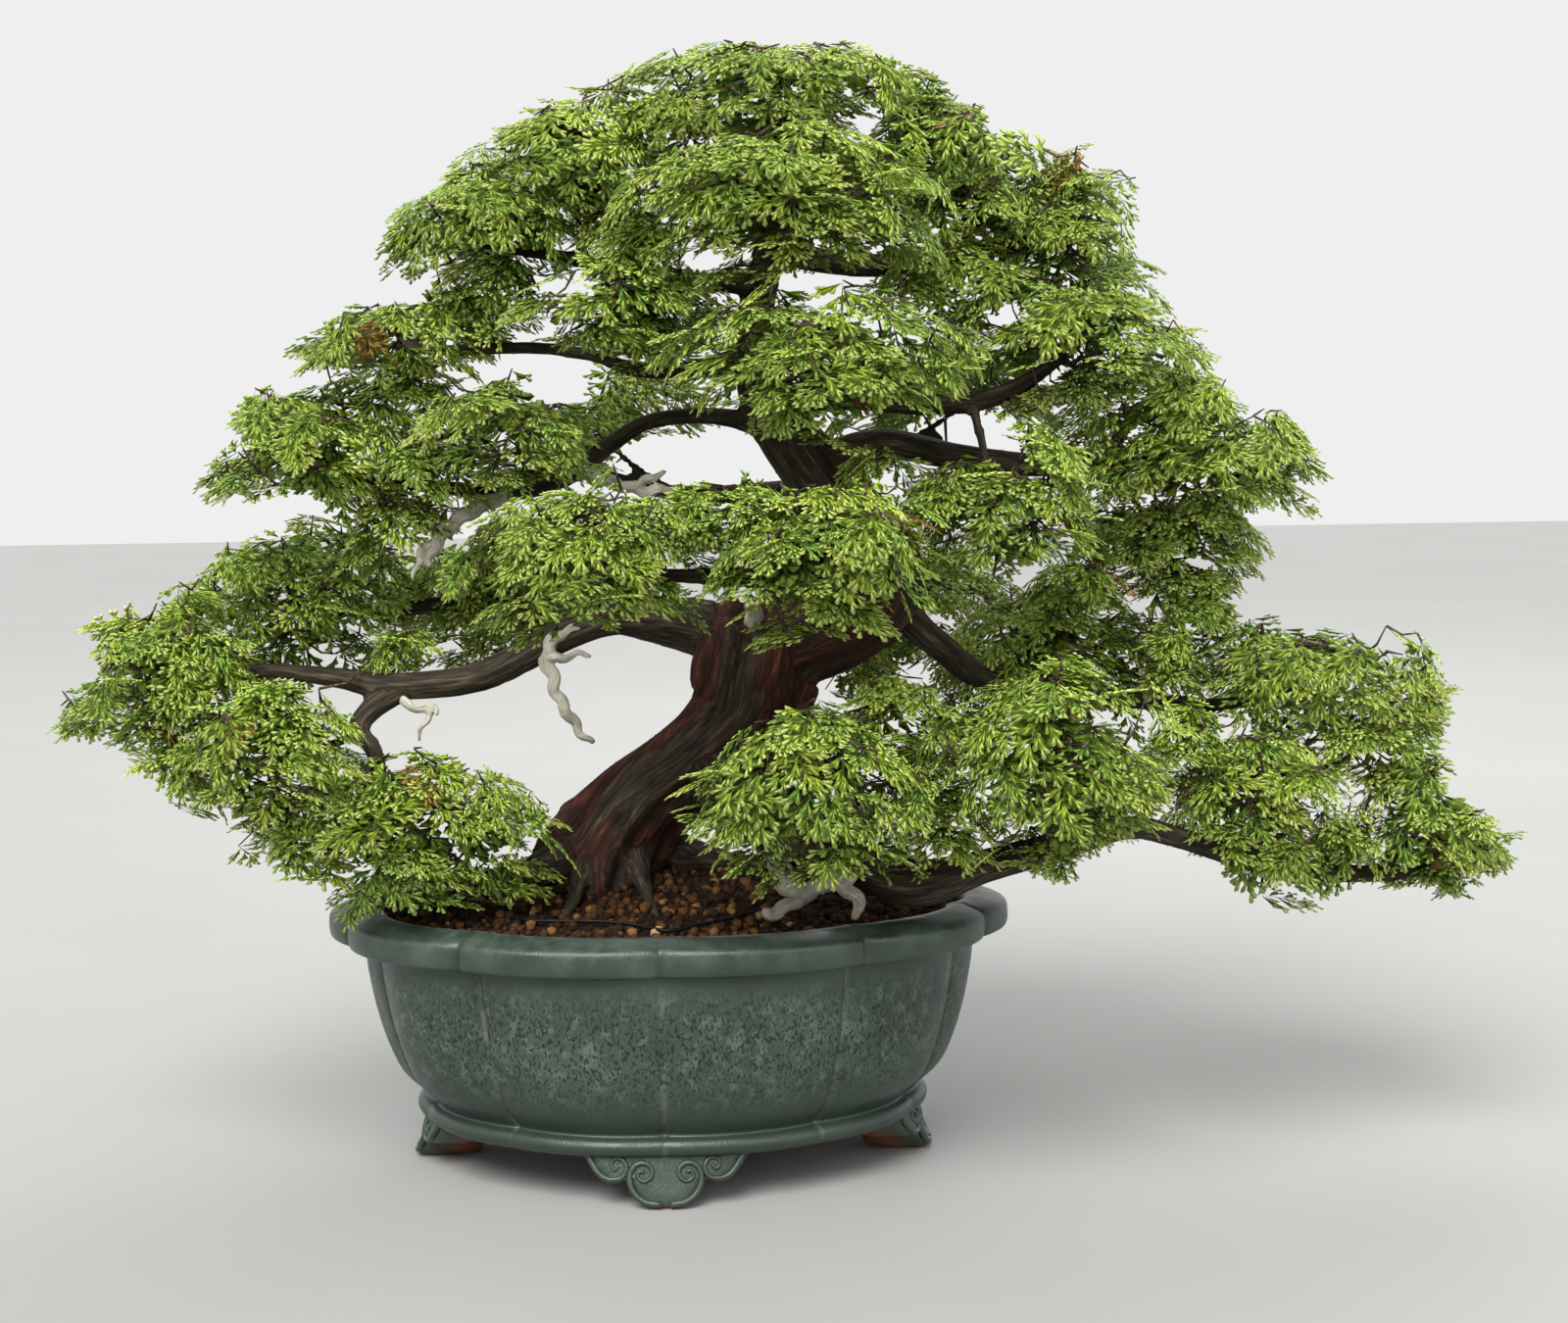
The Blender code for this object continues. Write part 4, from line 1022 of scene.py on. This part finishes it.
def spray_places(middle, half, spacing, others, draw):
    """Where the sprays of a clump grow: roots, ways out, ways up, sizes and their painted light,
    which is painted shade that darkens the lower sprays of a clump. They lie evenly and in
    layers, but thinly below, and none where another pad or a gap is."""
    a, b, c = half ** AREA_POWER
    area = 4 * math.pi * ((a * b + a * c + b * c) / 3) ** (1 / AREA_POWER)
    count = round(area / spacing)
    ways = []
    while len(ways) < count:
        way = unit(draw.normal(0, 1, 3))
        stretch = np.linalg.norm(way / half) * half.min()
        keep = stretch * (BELOW_SHARE if way[2] < BELOW_FROM else 1.0)
        if draw.uniform(0, 1) < keep:
            ways.append(way)
    ways = np.array(ways)
    lumps = 1 + PAD_LUMPS * noise_at(ways * LUMP_CLOSENESS + middle * LUMP_SHIFT, 2)
    places = ways * half * lumps[:, None] * draw.uniform(*PAD_SHARE, (count, 1))
    waves = LAYER_WAVE * noise_at((places + middle) * LAYER_CLOSENESS, 2)
    heights = places[:, 2] + waves
    layers = LAYER_STEP * (np.round(heights / LAYER_STEP + 0.5) - 0.5)
    places[:, 2] += LAYER_PULL * (layers - heights)
    normals = unit(ways / half)
    flat = unit(places * (1, 1, 0))
    outward = normals * (1, 1, 0) * draw.uniform(*TIP_OUT, (count, 1))
    ups = unit(outward + STAND_UP + draw.normal(0, TIP_SPREAD, (count, 3)))
    outs = flat + REACH_UP
    outs = unit(outs - ups * np.einsum("ij,ij->i", ups, outs)[:, None])
    turn = draw.normal(0, TURN_SPREAD, count)[:, None]
    outs = outs * np.cos(turn) + np.cross(ups, outs) * np.sin(turn)
    sizes = draw.uniform(*SPRAY_SIZE, count)
    lengths = (SPRAY_LENGTH * sizes)[:, None]
    roots = places - outs * SPRAY_ROOT * lengths
    # Painted shade: the lower a spray lies in its clump, the darker it is
    lights = np.clip(PAINTED_LIGHT_MIDDLE + PAINTED_LIGHT_SLOPE * places[:, 2] / half[2], 0, 1)
    shown = ~in_a_gap(roots + middle) & ~in_a_gap(places + middle)
    shown &= ~in_a_gap(roots + outs * lengths + middle)
    for other_middle, other_half in others:
        apart = np.linalg.norm((places + middle - other_middle) / other_half, axis=1)
        shown &= apart > HIDDEN_SHARE
    return [part[shown] for part in (roots + middle, outs, ups, sizes, lights)]


def make_pad(node, middle, half, others, kinds, leaf, draw):
    """The sprays of one pad and its clumps. Gives back where their roots are."""
    clumps = [(middle, half)]
    for x, y, z, half_width, half_height in CLUMPS.get(node, ()):
        clumps.append((np.array((x, y, z)), np.array((half_width, half_width, half_height))))
    found = [spray_places(*clump, SPRAY_AREA, others, draw) for clump in clumps]
    outer = sum(len(part[0]) for part in found)
    found.append(spray_places(middle, half * INNER_SHARE, INNER_AREA, others, draw))
    roots, outs, ups, sizes, lights = [np.concatenate(part) for part in zip(*found)]
    chosen = draw.integers(0, SPRAY_KINDS, len(roots))
    chosen[outer:] = SPRAY_KINDS
    # Painted shade: the core's sprays are darkened as the shade inside the pad
    lights[outer:] *= INNER_PAINTED_SHADE
    tints = np.clip(draw.normal(TINT_MIDDLE, TINT_SPREAD, len(roots)), LEAST_TINT, 1)
    tints[draw.uniform(0, 1, len(roots)) < DYING_SHARE] = 0.0
    shapes, values = [], []
    for index, (kind_points, kind_faces, young) in enumerate(kinds):
        own = np.flatnonzero(chosen == index)
        if not len(own):
            continue
        sides = np.cross(ups[own], outs[own])
        axes = np.stack([outs[own], sides, ups[own]], 1) * sizes[own][:, None, None]
        placed = roots[own][:, None] + kind_points[None] @ axes
        starts = len(kind_points) * np.arange(len(own))
        faces = kind_faces[None] + starts[:, None, None]
        shapes.append((placed.reshape(-1, 3), faces.reshape(-1, 3)))
        value = np.empty((len(own), len(young), 3))
        value[..., 0] = young[None]
        value[..., 1] = tints[own][:, None]
        value[..., 2] = lights[own][:, None]
        values.append(value.reshape(-1, 3))
    points, faces = join(shapes)
    name = node + "_sprays"
    mesh = mesh_of(name, world(points), faces, leaf, {"leaf": np.vstack(values)})
    piece(name, mesh, [node])
    return roots


def side_twigs(twig, roots):
    """Twigs that fork from a pad's twig to the root of each spray, each from whatever is
    nearest of the twig and the roots that are already reached."""
    end = twig[-1, :3]
    joints = list(twig[-TWIG_JOINTS:, :3])
    distances = np.linalg.norm(roots - end, axis=1)
    shapes = []
    for root in roots[np.argsort(distances)]:
        apart = np.linalg.norm(np.array(joints) - root, axis=1)
        near, length = joints[np.argmin(apart)], apart.min()
        joints.append(root)
        nearness = 1 - np.linalg.norm(near - end) / distances.max()
        radius = STALK_RADIUS + FORK_RADIUS * max(nearness, 0)
        path = [(*near, radius), (*root, STALK_RADIUS)]
        if length > STRAIGHT_TWIG:
            halfway = (near + root) / 2 - (0, 0, TWIG_SAG * length)
            path.insert(1, (*halfway, (radius + STALK_RADIUS) / 2))
        if length > SHORTEST_TWIG:
            shapes.append(tube(path, STALK_SIDES))
    return shapes


def make_foliage():
    """Every pad of foliage, and the twigs inside them."""
    leaf = leaf_surface()
    twigs = make_wood(bark_surface())
    draw = np.random.default_rng(SEED)
    kinds = [spray_kind(draw, BLADE_WIDTH) for _ in range(SPRAY_KINDS)]
    kinds.append(spray_kind(draw, INNER_WIDTH, fingered=False))
    shapes = []
    boxes = pad_boxes()
    for node, (middle, half) in boxes.items():
        others = [box for name, box in boxes.items() if name != node]
        roots = make_pad(node, middle, half, others, kinds, leaf, draw)
        shapes += side_twigs(twigs[node], roots)
    points, faces = join(shapes)
    piece("fine_twigs", mesh_of("fine_twigs", world(points), faces, twig_surface()))


def make_deadwood(node, surface):
    """A dead branch: wavy stems with twisted ribs, cracked along the grain."""
    draw = np.random.default_rng(SEED)
    paths = []
    for stem in DEADWOOD[node]:
        path = smooth_path(stem, DEADWOOD_STEPS)
        _, asides, acrosses = frames_along(path)
        wave = math.tau * lengths_along(path) / DEADWOOD_WAVE + draw.uniform(0, math.tau)
        wave = wave[:, None]
        sway = (DEADWOOD_SWAY * np.sqrt(np.linspace(0, 1, len(path))))[:, None]
        path[:, :3] += sway * (np.sin(wave) * asides + np.cos(DEADWOOD_TWIST * wave) * acrosses)
        path[:, 3] *= DEADWOOD_SHRINK
        paths.append(path)
    shapes = [tube(path, DEADWOOD_SIDES, DEADWOOD_RIDGES) for path in paths]
    mesh, points, normals, grain, radii = grown_together(
        node + "_rough", shapes, paths, DEADWOOD_CELL, surface,
    )
    rise = DEADWOOD_RISE * radii * noise_at(grain * CRACK_CLOSENESS, 3)
    carve(mesh, points + normals * rise[:, None], {"grain": grain}, surface)
    piece(node + "_weathered", mesh, [node])


def pot_walls():
    """The thrown body: smooth rows round it, drawn in at the creases. Gives back the points of
    each row, and how near each point of a row is to a crease."""
    rows = smooth_path(POT_ROWS, POT_STEPS)
    turns = math.tau * np.arange(POT_SIDES) / POT_SIDES
    turns -= CREASE_CROWDING * np.sin(LOBES * turns) / LOBES
    off = np.abs(np.sin(LOBES / 2 * turns))
    groove = np.exp(-(off * POT_HALF_WIDTH / (LOBES / 2) / CREASE_WIDTH) ** 2)
    width, depth, height, crease = [rows[:, index, None] for index in range(4)]
    swell = 1 - crease * (1 - off ** LOBE_FULLNESS)[None]
    swell -= CREASE_GROOVE * groove[None] * (crease > GROOVED_FROM) / width
    x = width * swell * np.sin(turns)[None]
    y = -depth * swell * np.cos(turns)[None]
    points = np.stack([x, y, np.repeat(height, POT_SIDES, axis=1)], -1).reshape(-1, 3)
    waver = POT_WAVER * noise_at(points * WAVER_CLOSENESS, 3)
    points += unit(points * (1, 1, 0)) * waver[:, None]
    return points.reshape(len(rows), POT_SIDES, 3), groove


def pot_body():
    """The body with its drain holes: points, faces, and crease, level and bareness at each."""
    rows, groove = pot_walls()
    points = rows.reshape(-1, 3)
    wall_end = len(points)
    ring = np.arange(POT_SIDES)
    low, high = POT_ROWS[0][2], POT_ROWS[-1][2]
    edges = {low: [ring], high: [wall_end - POT_SIDES + ring]}
    faces = [ring_triangles(len(rows), POT_SIDES)[:-2 * POT_SIDES]]
    for x in (-DRAIN_HOLE_X, DRAIN_HOLE_X):
        path = [(x, 0, height, DRAIN_HOLE_RADIUS) for height in (low, high)]
        bore_points, bore_faces = tube(path, HOLE_SIDES)
        first = len(points)
        faces.append(bore_faces[:-2 * HOLE_SIDES, ::-1] + first)
        edges[low].append(first + np.arange(HOLE_SIDES))
        edges[high].append(first + HOLE_SIDES + np.arange(HOLE_SIDES))
        points = np.vstack([points, bore_points[:-2]])
    faces.append(floor_between(points, edges[low], -1))
    faces.append(floor_between(points, edges[high], 1))
    values = np.ones((len(points), 3))
    values[:, 0] = 0
    values[:wall_end, 0] = np.tile(groove, len(rows))
    values[:, 1] = points[:, 2] / POT_HIGH.z * MM
    values[BARE_ROWS * POT_STEPS * POT_SIDES:wall_end, 2] = 0
    return points, np.vstack(faces), values


def floor_between(points, edges, up):
    """Triangles that fill the first edge apart from the others, and face up (1) or down (-1)."""
    loops = [[Vector(point) for point in points[edge]] for edge in edges]
    corners = np.concatenate(edges)[np.array(tessellate_polygon(loops))]
    a, b, c = [points[corners[:, index]] for index in range(3)]
    wrong = np.cross(b - a, c - a)[:, 2] * up < 0
    corners[wrong] = corners[wrong][:, ::-1]
    return corners


def foot_front(across, up, reach, bend):
    """How far out the front of a foot lies at a place on its face."""
    top = FOOT_HALF_OUTLINE[-1][1]
    return reach + FOOT_FLARE * (top - up) - across ** 2 / (2 * bend)


def foot(reach, bend, degrees):
    """A scroll foot with a softened edge and four volutes, turned about the pot's middle."""
    half = np.array(FOOT_HALF_OUTLINE, float)
    outline = smooth_path(np.vstack([half, (half * (-1, 1))[:0:-1], half[:1]]), FOOT_STEPS)[:-1]
    outline[:, 1] = np.maximum(outline[:, 1], 0)
    middle = np.array(FOOT_MIDDLE)
    rings = [middle + (outline - middle) * inset for inset, _ in FOOT_RINGS]
    flat = np.vstack([*rings, middle, middle])
    depths = [depth for _, depth in FOOT_RINGS]
    depth = np.concatenate([np.repeat(depths, len(outline)), [depths[0], depths[-1]]])
    bare = np.clip((depth - FOOT_GLAZED) / FOOT_BLEND, 0, 1)
    out = foot_front(flat[:, 0], flat[:, 1], reach, bend) - depth
    faces = ring_triangles(len(rings), len(outline))
    shapes = [(np.stack([flat[:, 0], out, flat[:, 1]], 1), faces)]
    for scroll in SCROLLS:
        for side in (-1, 1):
            path = smooth_path([(side * x, 0.0, z, radius) for x, z, radius in scroll], SCROLL_STEPS)
            path[:, 1] = foot_front(path[:, 0], path[:, 2], reach, bend) - SCROLL_SINK
            shapes.append(tube(path, SCROLL_SIDES))
    points, faces = join(shapes)
    cos, sin = math.cos(math.radians(degrees)), math.sin(math.radians(degrees))
    turned = np.stack([
        points[:, 0] * cos + points[:, 1] * sin, points[:, 0] * sin - points[:, 1] * cos,
        np.maximum(points[:, 2], 0),
    ], 1)
    values = np.zeros((len(points), 3))
    # The foot's level on the glaze's height scale, which sets its speckles and its painted low shade
    values[:, 1] = FOOT_SHADE + FOOT_SHADING * turned[:, 2] / POT_HIGH.z * MM
    values[:, 2] = np.clip(1 - turned[:, 2] / BARE_HEIGHT, 0, 1)
    values[:len(bare), 2] = np.maximum(values[:len(bare), 2], bare)
    return turned, faces[:, ::-1], values


def make_pot(surface):
    """The pot with its feet."""
    parts = [pot_body(), *[foot(*values) for values in FEET]]
    points, faces = join([part[:2] for part in parts])
    values = np.vstack([part[2] for part in parts])
    mesh = mesh_of("glazed_pot", world(points), faces, surface, {"wall": values})
    piece("glazed_pot", mesh, ["pot"])


def ball(draw):
    """A lumpy grain of about unit size."""
    up = (1 + math.sqrt(5)) / 2
    points = np.array([
        (-1, up, 0), (1, up, 0), (-1, -up, 0), (1, -up, 0), (0, -1, up), (0, 1, up),
        (0, -1, -up), (0, 1, -up), (up, 0, -1), (up, 0, 1), (-up, 0, -1), (-up, 0, 1),
    ]) / math.hypot(1, up)
    return points * draw.uniform(*GRAIN_LUMPS, (len(points), 1))


# Corners of a grain's faces, as ball gives its points
BALL_FACES = np.array((
    (0, 11, 5), (0, 5, 1), (0, 1, 7), (0, 7, 10), (0, 10, 11), (1, 5, 9), (5, 11, 4), (11, 10, 2),
    (10, 7, 6), (7, 1, 8), (3, 9, 4), (3, 4, 2), (3, 2, 6), (3, 6, 8), (3, 8, 9), (4, 9, 5),
    (2, 4, 11), (6, 2, 10), (8, 6, 7), (9, 8, 1),
))


def soil_top(x, y):
    """The height of the soil under a place, or nothing past its edge."""
    place = world((x, y, ABOVE_SOIL))
    hit, ground, _, _ = frame["nodes"]["soil"].ray_cast(place, (0, 0, -1))
    return ground.z / MM if hit and ground.z / MM > SOIL_LEVEL - SOIL_DIP else None


def make_grains(draw):
    """Grains of baked clay that cover the soil."""
    small, large = GRAIN_SIZE
    shapes, values = [], []
    while len(shapes) < GRAINS:
        radius, turn = math.sqrt(draw.uniform(0, 1)), draw.uniform(0, math.tau)
        x, y = SOIL_HALF_WIDTH * radius * math.cos(turn), SOIL_HALF_DEPTH * radius * math.sin(turn)
        top = soil_top(x, y)
        size = small + (large - small) * draw.uniform(0, 1) ** SMALL_GRAINS
        tint = min(1.0, draw.beta(*GRAIN_TINTS) + SIZE_TINT * (size / large - 0.5))
        shape = ball(draw) * size * draw.uniform(*GRAIN_STRETCH, 3)
        if top is None:
            continue
        shapes.append((shape + (x, y, top + size * draw.uniform(*GRAIN_LIFT)), BALL_FACES))
        values.append(np.tile((tint, 0, 0), (len(shape), 1)))
    points, faces = join(shapes)
    values = {"grain": np.vstack(values)}
    piece("soil_grains", mesh_of("soil_grains", world(points), faces, grain_surface(), values))


def make_wire(surface):
    """The tie wire on the soil."""
    route = smooth_path([(x, y, 0.0) for x, y in WIRE_ROUTE], WIRE_STEPS)
    tops = [soil_top(x, y) or SOIL_LEVEL for x, y, _ in route]
    window = np.ones(2 * WIRE_EVENING + 1) / (2 * WIRE_EVENING + 1)
    tops = np.convolve(np.pad(tops, WIRE_EVENING, mode="edge"), window, mode="valid")
    path = np.stack([route[:, 0], route[:, 1], tops + WIRE_LIFT, np.full(len(route), WIRE_RADIUS)], 1)
    points, faces = tube(path, WIRE_SIDES)
    mesh = mesh_of("tie_wire_bent", world(points), faces, surface)
    piece("tie_wire_bent", mesh, ["tie_wire"])


def dress_nodes():
    """Surfaces for the solids that stay in view."""
    screens = plain_surface("screen_plastic", "0a0a0a", "1c1c1b", 300.0, 0.6)
    for name, surface in (
        ("drain_screen_left", screens), ("drain_screen_right", screens), ("soil", earth_surface()),
    ):
        frame["nodes"][name].data.materials.clear()
        frame["nodes"][name].data.materials.append(surface)


def make_floor():
    """A pale floor."""
    corners = [(x * FLOOR_HALF, y * FLOOR_HALF, 0) for x, y in ((-1, -1), (1, -1), (1, 1), (-1, 1))]
    paint = plain_surface("floor_paint", "949492", "979795", 3.0, 0.9)
    floor = show("floor", mesh_of("floor", corners, ((0, 1, 2, 3),), paint))


def make_sky():
    """An even sky, a little darker for the camera than for the bonsai."""
    sky = bpy.data.worlds.new("studio")
    sky.use_nodes = True
    tree = sky.node_tree
    shown = tree.nodes.new("ShaderNodeLightPath").outputs["Is Camera Ray"]
    strength = tree.nodes.new("ShaderNodeMapRange")
    strength.inputs["To Min"].default_value = SKY_LIGHT
    strength.inputs["To Max"].default_value = SKY_SHOWN
    tree.links.new(shown, strength.inputs["Value"])
    tree.links.new(strength.outputs["Result"], tree.nodes["Background"].inputs["Strength"])
    tree.nodes["Background"].inputs["Color"].default_value = SKY_GREY
    bpy.context.scene.world = sky


def make_lights():
    """A soft sun, and two lamps aimed at the bonsai."""
    sun = bpy.data.lights.new("sun", "SUN")
    sun.energy = SUN_POWER
    sun.angle = math.radians(SUN_SPREAD)
    show("sun", sun).rotation_euler = Vector(SUN_WAY).to_track_quat("-Z", "Y").to_euler()
    for name, place, size, power in LAMPS:
        lamp = bpy.data.lights.new(name, "AREA")
        lamp.size = size
        lamp.energy = power
        made = show(name, lamp)
        made.location = place
        aim = Vector(LAMP_AIM) - made.location
        made.rotation_euler = aim.to_track_quat("-Z", "Y").to_euler()


def make_camera():
    """The camera, at the angle from which the photo was taken."""
    down, lean = math.radians(CAMERA_DOWN), math.radians(CAMERA_LEAN)
    forward = Vector((0, math.cos(down), -math.sin(down)))
    right = Vector((math.cos(lean), math.sin(lean) * math.sin(down), math.sin(lean) * math.cos(down)))
    lens = bpy.data.cameras.new("camera")
    lens.sensor_fit = "HORIZONTAL"
    lens.lens = CAMERA_LENS
    camera = show("camera", lens)
    turn = Matrix((right, right.cross(forward), -forward)).transposed()
    camera.matrix_world = Matrix.Translation(Vector(world(CAMERA_PLACE))) @ turn.to_4x4()
    bpy.context.scene.camera = camera


def main():
    bpy.context.scene.view_settings.view_transform = "Standard"
    make_camera()
    make_floor()
    make_sky()
    make_lights()
    make_foliage()
    bleached = bleached_surface()
    for node in DEADWOOD:
        make_deadwood(node, bleached)
    make_pot(glaze_surface())
    dress_nodes()
    make_grains(np.random.default_rng(SEED))
    make_wire(plain_surface("wire_black", "0c0c0c", "24221f", 200.0, 0.5, 0.7))


main()
